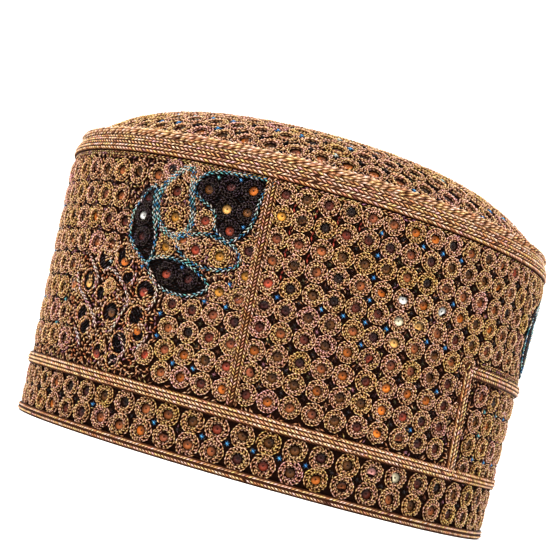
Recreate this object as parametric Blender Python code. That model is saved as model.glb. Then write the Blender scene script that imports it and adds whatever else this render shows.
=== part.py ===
"""Tall oval cap of embroidered cloth, standing on its hem.

A padded cloth wall carries a low domed crown. Four sewn trims lie on the cloth: a plaited band and a
round cord at the crown's seam, a stepped band low on the wall that frames a block at the brow, upright
bands that part the wall's panels, and a folded binding round the hem, on which the cap rests.
Metres, +Z up, the origin at the middle of the footprint. Azimuths are in degrees, counted from the
-Y side towards +X.
"""
import math

import bmesh
import bpy
from mathutils import Vector

# Oval of the cloth wall's outer face, and how it rises
HEM_HALF_LENGTH = 0.0977
HEM_HALF_WIDTH = 0.0879
OVAL_TURN = -16.7
RIM_SPREAD = 0.0044
WALL_TOP = 0.1142
WALL_THICKNESS = 0.0026

# Lean: how far the wall's foot stands to +X of its top, and the height that is over the origin
LEAN = 0.0044
LEAN_LEVEL = 0.0957

# Rounded shoulder: the wall rolls inwards over this height, by this much at its top edge
SHOULDER_HEIGHT = 0.0135
SHOULDER_ROLL = 0.0038

# Domed crown
CROWN_THICKNESS = 0.0026
CROWN_RISE = 0.0222
CROWN_FULLNESS = 4.5
CROWN_INSET = 0.0002

# Trims at the crown's seam
CROWN_BRAID_HEIGHT = 0.0056
CROWN_BRAID_PROUD = 0.0019
CROWN_CORD_DIAMETER = 0.0028

# Binding folded round the hem
HEM_BRAID_HEIGHT = 0.0036
HEM_BRAID_PROUD = 0.0015
HEM_LIP_THICKNESS = 0.0012

# Stepped band: heights are of its middle line, azimuths are of its two risers at the foot
BAND_WIDTH = 0.0048
BAND_PROUD = 0.0016
BAND_LOW = 0.0220
BAND_HIGH = 0.0610
BLOCK_START = 48.4
BLOCK_END = 131.0
RISER_SLANT = -2.2

# Upright bands between the wall's panels, and the slant of each over the wall's height
PANEL_BRAID_WIDTH = 0.0026
PANEL_BRAID_PROUD = 0.0011
PANEL_SLANT = -2.6
PANEL_AZIMUTHS = {"panel_braid_side": -6.8, "panel_braid_brow": 113.2, "panel_braid_back": 233.2}

# Gap between sewn pieces, and how finely round forms are drawn
SEAM_GAP = 0.0003
AROUND = 72
WALL_STEPS = 2
SHOULDER_STEPS = 4
CROWN_STEPS = 9
CORD_SIDES = 8
RISER_STEPS = 4
PANEL_STEPS = 8

# Sizes that follow from the ones above
WALL_FOOT = HEM_LIP_THICKNESS + SEAM_GAP
SHOULDER_FOOT = WALL_TOP - SHOULDER_HEIGHT
CROWN_FOOT = WALL_TOP + SEAM_GAP
CROWN_BRAID_TOP = WALL_TOP - CROWN_CORD_DIAMETER / 2 - SEAM_GAP
CROWN_BRAID_FOOT = CROWN_BRAID_TOP - CROWN_BRAID_HEIGHT

# Rounded sections of the flat braids: shares of the width and of the proud height
BRAID_SECTION = (
    {"across": -0.50, "proud": 0.00},
    {"across": 0.50, "proud": 0.00},
    {"across": 0.50, "proud": 0.55},
    {"across": 0.26, "proud": 1.00},
    {"across": -0.26, "proud": 1.00},
    {"across": -0.50, "proud": 0.55},
)

# Colour, roughness of each thread or cloth
FINISHES = {
    "ground_cloth": ((0.105, 0.055, 0.030, 1.0), 0.85),
    "crown_cloth": ((0.150, 0.080, 0.040, 1.0), 0.85),
    "braid_thread": ((0.470, 0.270, 0.120, 1.0), 0.60),
}


def clear_scene():
    """Remove whatever the opened file holds."""
    for leftover in list(bpy.data.objects):
        bpy.data.objects.remove(leftover, do_unlink=True)


def finish(name):
    """Material of one finish, made once."""
    known = bpy.data.materials.get(name)
    if known:
        return known
    colour, roughness = FINISHES[name]
    material = bpy.data.materials.new(name)
    material.use_nodes = True
    shader = material.node_tree.nodes["Principled BSDF"]
    shader.inputs["Base Color"].default_value = colour
    shader.inputs["Roughness"].default_value = roughness
    shader.inputs["Metallic"].default_value = 0.0
    return material


def oval_point(azimuth, half_length, half_width):
    """X and Y of the turned oval in the direction of an azimuth."""
    across = math.sin(math.radians(azimuth))
    along = -math.cos(math.radians(azimuth))
    cos_turn = math.cos(math.radians(OVAL_TURN))
    sin_turn = math.sin(math.radians(OVAL_TURN))
    long_share = across * cos_turn + along * sin_turn
    wide_share = along * cos_turn - across * sin_turn
    radius = 1 / math.hypot(long_share / half_length, wide_share / half_width)
    return radius * across, radius * along


def leaned(x, y, height):
    """Point moved sideways by the cap's lean at its height."""
    return Vector((x + LEAN * (LEAN_LEVEL - height) / WALL_TOP, y, height))


def wall_point(azimuth, height, proud=0.0):
    """Point of the wall's outer face at a height, or so far in front of it along the face's normal."""
    into_shoulder = max(0.0, height - SHOULDER_FOOT) / SHOULDER_HEIGHT
    roll = SHOULDER_ROLL * into_shoulder ** 2
    tilt = math.atan(2 * SHOULDER_ROLL / SHOULDER_HEIGHT * into_shoulder)
    spread = RIM_SPREAD * height / WALL_TOP - roll + proud * math.cos(tilt)
    x, y = oval_point(azimuth, HEM_HALF_LENGTH + spread, HEM_HALF_WIDTH + spread)
    return leaned(x, y, height + proud * math.sin(tilt))


def crown_point(azimuth, share, depth):
    """Point of the crown, share 0 at its top and 1 at its foot, so deep under its outer face."""
    spread = RIM_SPREAD - SHOULDER_ROLL - CROWN_INSET - depth
    x, y = oval_point(azimuth, HEM_HALF_LENGTH + spread, HEM_HALF_WIDTH + spread)
    height = CROWN_FOOT + (CROWN_RISE - depth) * (1 - share ** CROWN_FULLNESS)
    return leaned(x * share, y * share, height)


def azimuths_around():
    """Azimuths of the stations round the whole cap."""
    return [360 * step / AROUND for step in range(AROUND)]


def new_object(name, mesh_builder, finish_name):
    """Object with a closed, smooth mesh whose faces point outwards."""
    mesh = bpy.data.meshes.new(name)
    shape = bmesh.new()
    mesh_builder(shape)
    bmesh.ops.recalc_face_normals(shape, faces=shape.faces)
    shape.to_mesh(mesh)
    shape.free()
    piece = bpy.data.objects.new(name, mesh)
    bpy.context.scene.collection.objects.link(piece)
    mesh.materials.append(finish(finish_name))
    mesh.shade_smooth()
    mesh.set_sharp_from_angle(angle=math.radians(40))
    return piece


def skin_sections(shape, sections, closed):
    """Faces between neighbouring sections, each a closed loop of points."""
    loops = [[shape.verts.new(point) for point in section] for section in sections]
    pairs = list(zip(loops, loops[1:]))
    if closed:
        pairs.append((loops[-1], loops[0]))
    else:
        shape.faces.new(loops[0][::-1])
        shape.faces.new(loops[-1])
    for near, far in pairs:
        for corner, point in enumerate(near):
            following = (corner + 1) % len(near)
            shape.faces.new((point, near[following], far[following], far[corner]))


def side_wall():
    """Padded cloth wall, open above and below, its top edge cut level for the crown."""
    def build(shape):
        straight = [WALL_FOOT + (SHOULDER_FOOT - WALL_FOOT) * step / WALL_STEPS for step in range(WALL_STEPS)]
        rolled = [SHOULDER_FOOT + SHOULDER_HEIGHT * step / SHOULDER_STEPS for step in range(SHOULDER_STEPS + 1)]
        heights = straight + rolled
        sections = []
        for azimuth in azimuths_around():
            outside = [wall_point(azimuth, height) for height in heights]
            inside = [wall_point(azimuth, height, -WALL_THICKNESS) for height in reversed(heights)]
            inside[0].z = WALL_TOP
            sections.append(outside + inside)
        skin_sections(shape, sections, closed=True)
    return new_object("side_wall", build, "ground_cloth")


def crown():
    """Domed shell that closes the cap, its foot on the wall's top edge."""
    def build(shape):
        shares = [1 - (step / CROWN_STEPS) ** 2 for step in range(CROWN_STEPS)]
        rims = []
        for depth in (0.0, CROWN_THICKNESS):
            rings = [[shape.verts.new(crown_point(azimuth, share, depth)) for azimuth in azimuths_around()]
                     for share in shares]
            for lower, upper in zip(rings, rings[1:]):
                for station in range(AROUND):
                    following = (station + 1) % AROUND
                    shape.faces.new((lower[station], lower[following], upper[following], upper[station]))
            pole = shape.verts.new(crown_point(0.0, 0.0, depth))
            for station in range(AROUND):
                shape.faces.new((rings[-1][station], rings[-1][(station + 1) % AROUND], pole))
            rims.append(rings[0])
        outer, inner = rims
        for station in range(AROUND):
            following = (station + 1) % AROUND
            shape.faces.new((outer[station], outer[following], inner[following], inner[station]))
    return new_object("crown", build, "crown_cloth")


def braid_ring(name, middle_height, height, proud):
    """Flat plaited band sewn level round the wall."""
    def build(shape):
        sections = []
        for azimuth in azimuths_around():
            section = []
            for corner in BRAID_SECTION:
                level = middle_height + corner["across"] * height
                section.append(wall_point(azimuth, level, SEAM_GAP + corner["proud"] * proud))
            sections.append(section)
        skin_sections(shape, sections, closed=True)
    return new_object(name, build, "braid_thread")


def crown_cord():
    """Round cord on the shoulder, along the seam of wall and crown."""
    radius = CROWN_CORD_DIAMETER / 2

    def build(shape):
        sections = []
        for azimuth in azimuths_around():
            seat = wall_point(azimuth, WALL_TOP, SEAM_GAP)
            middle = wall_point(azimuth, WALL_TOP, SEAM_GAP + radius)
            outwards = Vector((middle.x - seat.x, middle.y - seat.y, 0)).normalized() * radius
            upwards = Vector((0, 0, radius))
            section = []
            for side in range(CORD_SIDES):
                angle = 2 * math.pi * (side + 0.5) / CORD_SIDES
                section.append(middle + outwards * math.cos(angle) + upwards * math.sin(angle))
            sections.append(section)
        skin_sections(shape, sections, closed=True)
    return new_object("crown_cord", build, "braid_thread")


def hem_braid():
    """Binding folded round the wall's lower edge, with a flat underside."""
    outside = SEAM_GAP + HEM_BRAID_PROUD
    inside = -WALL_THICKNESS
    section_points = (
        {"proud": inside, "height": 0.0},
        {"proud": outside * 0.6, "height": 0.0},
        {"proud": outside, "height": HEM_BRAID_HEIGHT * 0.25},
        {"proud": outside, "height": HEM_BRAID_HEIGHT * 0.75},
        {"proud": outside * 0.6, "height": HEM_BRAID_HEIGHT},
        {"proud": SEAM_GAP, "height": HEM_BRAID_HEIGHT},
        {"proud": SEAM_GAP, "height": HEM_LIP_THICKNESS},
        {"proud": inside, "height": HEM_LIP_THICKNESS},
    )

    def build(shape):
        sections = [[wall_point(azimuth, point["height"], point["proud"]) for point in section_points]
                    for azimuth in azimuths_around()]
        skin_sections(shape, sections, closed=True)
    return new_object("hem_braid", build, "braid_thread")


def degrees_for(length, azimuth, height):
    """Azimuth step that covers a length along the wall at a place."""
    place = wall_point(azimuth, height)
    return length / (place - wall_point(azimuth + 1, height)).length


def band_stations():
    """Stations along the stepped band: azimuth, height, and which way its left edge lies."""
    step = 360 / AROUND
    riser_top_start = BLOCK_START + RISER_SLANT
    riser_top_end = BLOCK_END + RISER_SLANT
    stations = []

    def run(start, end, height):
        """Level stretch between two corners, stations about one step apart."""
        count = max(2, round((end - start) / step))
        for index in range(1, count):
            stations.append((start + (end - start) * index / count, height, 0, 1))

    def riser(foot, top, low, high, side):
        """Upright stretch between two corners."""
        for index in range(1, RISER_STEPS):
            share = index / RISER_STEPS
            stations.append((foot + (top - foot) * share, low + (high - low) * share, side, 0))

    stations.append((BLOCK_START, BAND_LOW, -1, 1))
    riser(BLOCK_START, riser_top_start, BAND_LOW, BAND_HIGH, -1)
    stations.append((riser_top_start, BAND_HIGH, -1, 1))
    run(riser_top_start, riser_top_end, BAND_HIGH)
    stations.append((riser_top_end, BAND_HIGH, 1, 1))
    riser(riser_top_end, BLOCK_END, BAND_HIGH, BAND_LOW, 1)
    stations.append((BLOCK_END, BAND_LOW, 1, 1))
    run(BLOCK_END, BLOCK_START + 360, BAND_LOW)
    return stations


def band_braid():
    """Stepped band: low round the back and sides, raised over the block at the brow."""
    def build(shape):
        sections = []
        for azimuth, height, beside, above in band_stations():
            section = []
            for corner in BRAID_SECTION:
                offset = corner["across"] * BAND_WIDTH
                turned = azimuth + beside * degrees_for(1.0, azimuth, height) * offset
                level = height + above * offset
                section.append(wall_point(turned, level, SEAM_GAP + corner["proud"] * BAND_PROUD))
            sections.append(section)
        skin_sections(shape, sections, closed=True)
    return new_object("band_braid", build, "braid_thread")


def over_block(azimuth):
    """Whether an azimuth lies over the raised part of the stepped band."""
    return BLOCK_START < azimuth % 360 < BLOCK_END


def panel_braid(name, azimuth):
    """Upright band from the stepped band up to the plaited band under the crown."""
    beneath = BAND_HIGH if over_block(azimuth) else BAND_LOW
    foot = beneath + BAND_WIDTH / 2 + SEAM_GAP
    top = CROWN_BRAID_FOOT - SEAM_GAP

    def build(shape):
        sections = []
        for index in range(PANEL_STEPS + 1):
            level = foot + (top - foot) * index / PANEL_STEPS
            middle = azimuth + PANEL_SLANT * level / WALL_TOP
            section = []
            for corner in BRAID_SECTION:
                turned = middle + degrees_for(corner["across"] * PANEL_BRAID_WIDTH, middle, level)
                section.append(wall_point(turned, level, SEAM_GAP + corner["proud"] * PANEL_BRAID_PROUD))
            sections.append(section)
        skin_sections(shape, sections, closed=False)
    return new_object(name, build, "braid_thread")


def main():
    """Build the cap's pieces under one empty."""
    clear_scene()
    crown_braid_middle = (CROWN_BRAID_TOP + CROWN_BRAID_FOOT) / 2
    pieces = [
        side_wall(),
        crown(),
        crown_cord(),
        braid_ring("crown_braid", crown_braid_middle, CROWN_BRAID_HEIGHT, CROWN_BRAID_PROUD),
        band_braid(),
        hem_braid(),
    ]
    pieces += [panel_braid(name, azimuth) for name, azimuth in PANEL_AZIMUTHS.items()]
    cap = bpy.data.objects.new("cap", None)
    bpy.context.scene.collection.objects.link(cap)
    for piece in pieces:
        piece.parent = cap


main()
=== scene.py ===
"""Dressed model of a tall embroidered cap.

The solids give the padded wall, the domed crown and the trims. Here the wall and crown become lined cloth
covered with ring stitches, each round a sequin. Plaits and chain stitches lie on the trims, and dark
petals with light outlines and a pale lattice are sewn into the rings.
Lengths are in metres and azimuths in degrees, counted from the -Y side towards +X. The tables that are
read from the design give azimuths in degrees and lengths in millimetres.
"""
import logging
import math
from contextlib import contextmanager
from dataclasses import dataclass, field, replace
from enum import Enum
from functools import cached_property
from typing import Callable, Iterable, Iterator, NamedTuple

import bpy
import numpy as np
from mathutils import Matrix, Vector
from mathutils.kdtree import KDTree


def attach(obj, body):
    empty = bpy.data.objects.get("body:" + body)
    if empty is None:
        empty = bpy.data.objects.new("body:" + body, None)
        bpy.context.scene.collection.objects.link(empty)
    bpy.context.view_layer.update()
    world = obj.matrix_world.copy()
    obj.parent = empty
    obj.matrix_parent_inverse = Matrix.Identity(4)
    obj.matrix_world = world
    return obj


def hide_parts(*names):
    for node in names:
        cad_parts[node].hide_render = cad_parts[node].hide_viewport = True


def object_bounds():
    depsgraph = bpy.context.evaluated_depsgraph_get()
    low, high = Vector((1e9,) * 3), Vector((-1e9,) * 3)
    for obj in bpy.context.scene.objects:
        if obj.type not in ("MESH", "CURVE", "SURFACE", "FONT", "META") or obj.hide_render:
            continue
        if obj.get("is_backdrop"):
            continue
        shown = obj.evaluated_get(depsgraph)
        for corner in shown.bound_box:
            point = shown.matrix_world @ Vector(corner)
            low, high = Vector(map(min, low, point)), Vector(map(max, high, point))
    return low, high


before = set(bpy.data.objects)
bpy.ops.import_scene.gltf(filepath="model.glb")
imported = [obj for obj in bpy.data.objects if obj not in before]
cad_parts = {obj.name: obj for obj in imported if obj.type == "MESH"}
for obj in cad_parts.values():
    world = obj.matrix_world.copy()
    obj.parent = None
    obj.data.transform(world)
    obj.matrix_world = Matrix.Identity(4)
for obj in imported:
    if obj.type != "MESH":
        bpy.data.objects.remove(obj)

CAD_BOX = [list(corner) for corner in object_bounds()]
MM = 0.001
BODY = "root"
LOG = logging.getLogger("cap")


class Slot(Enum):
    """Names of material slots of the part; each new piece is passed one, which is not used."""

    GROUND = "ground_cloth"
    CROWN = "crown_cloth"
    THREAD = "tan_thread"


def linear_light(shade: tuple[int, int, int]) -> np.ndarray:
    """A colour from 0 to 255 in linear light, from 0 to 1."""
    share = np.array(shade) / 255
    return np.where(share > 0.04045, ((share + 0.055) / 1.055) ** 2.4, share / 12.92)


class Shade(Enum):
    """Named colours of threads and sequins, as red, green and blue from 0 to 255."""

    TAN = (206, 156, 104)
    GOLD_TAN = (206, 158, 92)
    ROSE_TAN = (206, 150, 112)
    OLIVE_TAN = (176, 146, 78)
    PALE_TAN = (224, 178, 132)
    COPPER_TAN = (184, 124, 74)
    MAUVE = (136, 88, 84)
    BROWN = (104, 62, 38)
    DARK_BROWN = (42, 22, 14)
    DARK_OLIVE = (60, 52, 28)
    DARK_GREY = (46, 38, 32)
    RUST = (160, 62, 40)
    BLACK = (13, 10, 8)
    INK = (54, 43, 38)
    BLUE = (72, 136, 210)
    TEAL = (96, 160, 165)
    DEEP_TEAL = (50, 104, 114)
    SKY = (170, 204, 208)
    PALE_SKY = (224, 226, 214)
    PALE_ROSE = (234, 200, 184)
    ORANGE = (182, 96, 30)
    COPPER = (160, 88, 46)
    AMBER = (176, 118, 42)
    GOLD = (226, 168, 92)
    BLUSH = (144, 76, 46)
    RED = (142, 58, 38)
    MAROON = (94, 40, 26)
    PLUM = (70, 32, 28)
    UMBER = (98, 58, 24)
    CREAM = (250, 236, 196)
    WHITE = (255, 252, 244)
    PINK = (232, 160, 150)

    @property
    def linear(self) -> np.ndarray:
        """The colour in linear light, from 0 to 1."""
        return linear_light(self.value)


def unit(vectors: np.ndarray) -> np.ndarray:
    """Vectors of the same directions with a length of one."""
    return vectors / np.linalg.norm(vectors, axis=-1, keepdims=True)


@dataclass(frozen=True)
class CapForm:
    """Surfaces of the cap, as in its solids."""

    half_length: float = 0.0977
    half_width: float = 0.0879
    oval_turn: float = -16.7
    rim_spread: float = 0.0044
    wall_top: float = 0.1142
    wall_thickness: float = 0.0026
    lean: float = 0.0044
    lean_level: float = 0.0957
    shoulder_height: float = 0.0135
    shoulder_roll: float = 0.0038
    crown_rise: float = 0.0222
    crown_fullness: float = 4.5
    crown_inset: float = 0.0002
    seam_gap: float = 0.0003
    hem_lip: float = 0.0012
    cord_diameter: float = 0.0028
    chart_level: float = 0.055

    @property
    def wall_foot(self) -> float:
        """Height of the cloth's lower edge."""
        return self.hem_lip + self.seam_gap

    @property
    def shoulder_foot(self) -> float:
        """Height at which the wall begins to roll inwards."""
        return self.wall_top - self.shoulder_height

    @property
    def crown_foot(self) -> float:
        """Height of the crown's lower edge."""
        return self.wall_top + self.seam_gap

    def oval(self, azimuth: np.ndarray, spread: np.ndarray) -> tuple[np.ndarray, np.ndarray]:
        """Plan of the turned oval.

        Args:
            azimuth: directions in degrees.
            spread: how far the oval is grown all round.

        Returns:
            X and Y of its points.
        """
        across = np.sin(np.radians(azimuth))
        along = -np.cos(np.radians(azimuth))
        cos_turn = math.cos(math.radians(self.oval_turn))
        sin_turn = math.sin(math.radians(self.oval_turn))
        long_share = across * cos_turn + along * sin_turn
        wide_share = along * cos_turn - across * sin_turn
        radius = 1 / np.hypot(long_share / (self.half_length + spread),
                              wide_share / (self.half_width + spread))
        return radius * across, radius * along

    def leaned(self, x: np.ndarray, y: np.ndarray, height: np.ndarray) -> np.ndarray:
        """Points moved sideways by the cap's lean at their height."""
        shifted = x + self.lean * (self.lean_level - height) / self.wall_top
        return np.stack(np.broadcast_arrays(shifted, y, height), axis=-1)

    def wall(self, azimuth: np.ndarray, height: np.ndarray, proud: np.ndarray = 0.0) -> np.ndarray:
        """Points on the wall's outer face, or in front of it.

        Args:
            azimuth: directions in degrees.
            height: heights on the face.
            proud: how far the points stand in front of the face.

        Returns:
            The points.
        """
        into_shoulder = np.maximum(0.0, height - self.shoulder_foot) / self.shoulder_height
        roll = self.shoulder_roll * into_shoulder ** 2
        tilt = np.arctan(2 * self.shoulder_roll / self.shoulder_height * into_shoulder)
        spread = self.rim_spread * height / self.wall_top - roll + proud * np.cos(tilt)
        x, y = self.oval(azimuth, spread)
        return self.leaned(x, y, height + proud * np.sin(tilt))

    def crown(self, azimuth: np.ndarray, share: np.ndarray, depth: np.ndarray = 0.0) -> np.ndarray:
        """Points on the crown's outer face, or under it.

        Args:
            azimuth: directions in degrees.
            share: 0 at the top and 1 at the foot.
            depth: how far the points lie under the face.

        Returns:
            The points.
        """
        x, y = self.oval(azimuth, self.rim_spread - self.shoulder_roll - self.crown_inset - depth)
        height = self.crown_foot + (self.crown_rise - depth) * (1 - share ** self.crown_fullness)
        return self.leaned(x * share, y * share, height)

    @cached_property
    def chart(self) -> tuple[np.ndarray, np.ndarray]:
        """Azimuths over three turns, and the length round the wall up to each."""
        azimuths = np.arange(-540.0, 540.5, 0.5)
        line = self.wall(azimuths, np.full(azimuths.shape, self.chart_level))
        steps = np.linalg.norm(np.diff(line, axis=0), axis=1)
        lengths = np.concatenate([[0.0], np.cumsum(steps)])
        return azimuths, lengths - np.interp(0.0, azimuths, lengths)

    def length_at(self, azimuth: np.ndarray) -> np.ndarray:
        """Length round the wall from azimuth 0."""
        return np.interp(azimuth, *self.chart)

    def azimuth_at(self, length: np.ndarray) -> np.ndarray:
        """Azimuth at a length round the wall."""
        azimuths, lengths = self.chart
        return np.interp(length, lengths, azimuths)

    def on_wall(self, chart: np.ndarray, proud: float = 0.0) -> "Seats":
        """Seats for stitches on the wall.

        Args:
            chart: lengths round the wall and heights, a row for each seat.
            proud: how far the seats stand in front of the cloth.

        Returns:
            Their places, with the directions along, up and out of the wall.
        """
        step = 0.0004
        length, height = chart.T
        place = self.wall(self.azimuth_at(length), height, proud)
        right = unit(self.wall(self.azimuth_at(length + step), height) -
                     self.wall(self.azimuth_at(length - step), height))
        rise = unit(self.wall(self.azimuth_at(length), height + step) -
                    self.wall(self.azimuth_at(length), height - step))
        out = unit(np.cross(right, rise))
        return Seats(place, right, np.cross(out, right), out)

    def on_crown(self, azimuth: np.ndarray, share: np.ndarray) -> "Seats":
        """Seats for stitches on the crown.

        Args:
            azimuth: directions in degrees.
            share: 0 at the top and 1 at the foot.

        Returns:
            Their places, with the directions round, up and out of the crown.
        """
        step = 0.002
        place = self.crown(azimuth, share)
        right = unit(self.crown(azimuth + 0.5, share) - self.crown(azimuth - 0.5, share))
        rise = unit(self.crown(azimuth, share - step) - self.crown(azimuth, share + step))
        out = unit(np.cross(right, rise))
        return Seats(place, right, np.cross(out, right), out)


@dataclass
class Seats:
    """Places on a surface, each with its directions to the right, up and out."""

    place: np.ndarray
    right: np.ndarray
    up: np.ndarray
    out: np.ndarray

    def __len__(self) -> int:
        """How many seats there are."""
        return len(self.place)

    def chosen(self, keep: np.ndarray) -> "Seats":
        """The seats that a mask or a list of indices picks."""
        return Seats(self.place[keep], self.right[keep], self.up[keep], self.out[keep])

    def raised(self, lift: float) -> np.ndarray:
        """The places, moved out of the surface by a lift."""
        return self.place + self.out * lift

    def heading(self, turn: np.ndarray) -> np.ndarray:
        """Directions along the surface, turned from the right towards up by angles in radians."""
        return self.right * np.cos(turn) + self.up * np.sin(turn)


FORM = CapForm()


class Bench:
    """Workbench for modelling with Blender's own operators."""

    @staticmethod
    def clear() -> None:
        bpy.ops.object.select_all(action="DESELECT")

    @staticmethod
    def only(piece: bpy.types.Object) -> None:
        """Select one piece alone and make it the active one."""
        Bench.clear()
        piece.select_set(True)
        bpy.context.view_layer.objects.active = piece

    @staticmethod
    def take_up() -> bpy.types.Object:
        """The object that the last operator made."""
        return bpy.context.active_object

    @staticmethod
    @contextmanager
    def editing(piece: bpy.types.Object) -> Iterator[bpy.types.Object]:
        """Edit mode on one piece, left again at the end.

        Args:
            piece: the object to edit.

        Returns:
            The same object, inside edit mode.
        """
        Bench.only(piece)
        bpy.ops.object.mode_set(mode="EDIT")
        yield piece
        bpy.ops.object.mode_set(mode="OBJECT")

    @staticmethod
    def select_points(piece: bpy.types.Object, test: Callable[[Vector], bool]) -> None:
        """Select a piece's points by their place, while it is in edit mode.

        Args:
            piece: the object in edit mode.
            test: says of a point's place whether it is selected.
        """
        bpy.ops.mesh.select_all(action="DESELECT")
        bpy.ops.mesh.select_mode(type="VERT")
        bpy.ops.object.mode_set(mode="OBJECT")
        for point in piece.data.vertices:
            point.select = test(point.co)
        bpy.ops.object.mode_set(mode="EDIT")

    @staticmethod
    def turn_outwards(piece: bpy.types.Object) -> None:
        """Turn all faces of a piece outwards."""
        with Bench.editing(piece):
            bpy.ops.mesh.select_all(action="SELECT")
            bpy.ops.mesh.normals_make_consistent(inside=False)

    @staticmethod
    def settle(piece: bpy.types.Object) -> None:
        """Move a piece's place, turn and size into its mesh."""
        Bench.only(piece)
        bpy.ops.object.transform_apply(location=True, rotation=True, scale=True)

    @staticmethod
    def modifier(piece: bpy.types.Object, kind: str, **settings: object) -> None:
        """Add a modifier to a piece and apply it.

        Args:
            piece: the object.
            kind: Blender's name of the modifier's type.
            settings: values of its properties.
        """
        Bench.only(piece)
        added = piece.modifiers.new(kind.title(), kind)
        for name, value in settings.items():
            setattr(added, name, value)
        bpy.ops.object.modifier_apply(modifier=added.name)


@dataclass
class Pattern:
    """Points and triangles of one small form, modelled once and copied many times."""

    points: np.ndarray
    triangles: np.ndarray
    # each point's share of painted light: painted highlight and shade on threads, painted shade in a
    # sequin's pit
    light: np.ndarray

    @staticmethod
    def painted_crest_light(points: np.ndarray) -> np.ndarray:
        """How near each point of a thread is to its crest, from 0 to 1, used as painted highlight and shade.
        """
        return np.clip(0.5 + points[:, 2] - np.abs(points[:, 1]) - 0.6 * np.abs(points[:, 0]), 0, 1)

    @staticmethod
    def painted_pit_shade(points: np.ndarray) -> np.ndarray:
        """Painted light on a sequin in its pit: painted shade under the upper rim."""
        return np.clip(0.46 - 1.5 * points[:, 1], 0.06, 1.0)

    @classmethod
    def from_piece(cls, piece: bpy.types.Object, light: Callable[[np.ndarray], np.ndarray]) -> "Pattern":
        """Read a modelled piece and put it away.

        Args:
            piece: the modelled object, at the origin.
            light: gives each point's share of painted light.

        Returns:
            Its points and triangles, with those shares.
        """
        with Bench.editing(piece):
            bpy.ops.mesh.select_all(action="SELECT")
            bpy.ops.mesh.normals_make_consistent(inside=False)
            bpy.ops.mesh.quads_convert_to_tris()
        mesh = piece.data
        points = np.array([point.co for point in mesh.vertices])
        triangles = np.array([list(face.vertices) for face in mesh.polygons])
        bpy.data.objects.remove(piece, do_unlink=True)
        return cls(points, triangles, light(points))

    @classmethod
    def grain(cls, sides: int = 4) -> "Pattern":
        """Short stitch, thickest in its middle, one long along X, one wide and one high.

        Args:
            sides: faces round it.

        Returns:
            The modelled form.
        """
        Bench.clear()
        bpy.ops.mesh.primitive_circle_add(vertices=sides, radius=0.5, fill_type="TRIFAN",
                                          rotation=(0.0, math.radians(90), 0.0))
        piece = Bench.take_up()
        Bench.settle(piece)
        with Bench.editing(piece):
            Bench.select_points(piece, lambda co: co.length < 0.1)
            bpy.ops.transform.translate(value=(0.5, 0.0, 0.0))
            Bench.select_points(piece, lambda co: co.x < 0.1)
            bpy.ops.mesh.extrude_edges_move()
            bpy.ops.mesh.merge(type="CENTER")
            bpy.ops.transform.translate(value=(-0.5, 0.0, 0.0))
        return cls.from_piece(piece, cls.painted_crest_light)

    @classmethod
    def sequin(cls, sides: int = 10, hole: float = 0.08, pit: float = 0.05) -> "Pattern":
        """Thin cupped disc with a needle hole, one across.

        Args:
            sides: corners round its rim.
            hole: radius of the hole.
            pit: depth of the hole, which the sewing thread closes.

        Returns:
            The modelled form.
        """
        Bench.clear()
        bpy.ops.mesh.primitive_circle_add(vertices=sides, radius=0.5, fill_type="NGON")
        piece = Bench.take_up()
        with Bench.editing(piece):
            bpy.ops.mesh.select_all(action="SELECT")
            bpy.ops.mesh.extrude_region_move(TRANSFORM_OT_translate={"value": (0.0, 0.0, 0.06)})
            bpy.ops.mesh.inset(thickness=0.5 - hole, depth=-0.03)
            bpy.ops.mesh.extrude_region_move(TRANSFORM_OT_translate={"value": (0.0, 0.0, -pit)})
        return cls.from_piece(piece, cls.painted_pit_shade)


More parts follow.
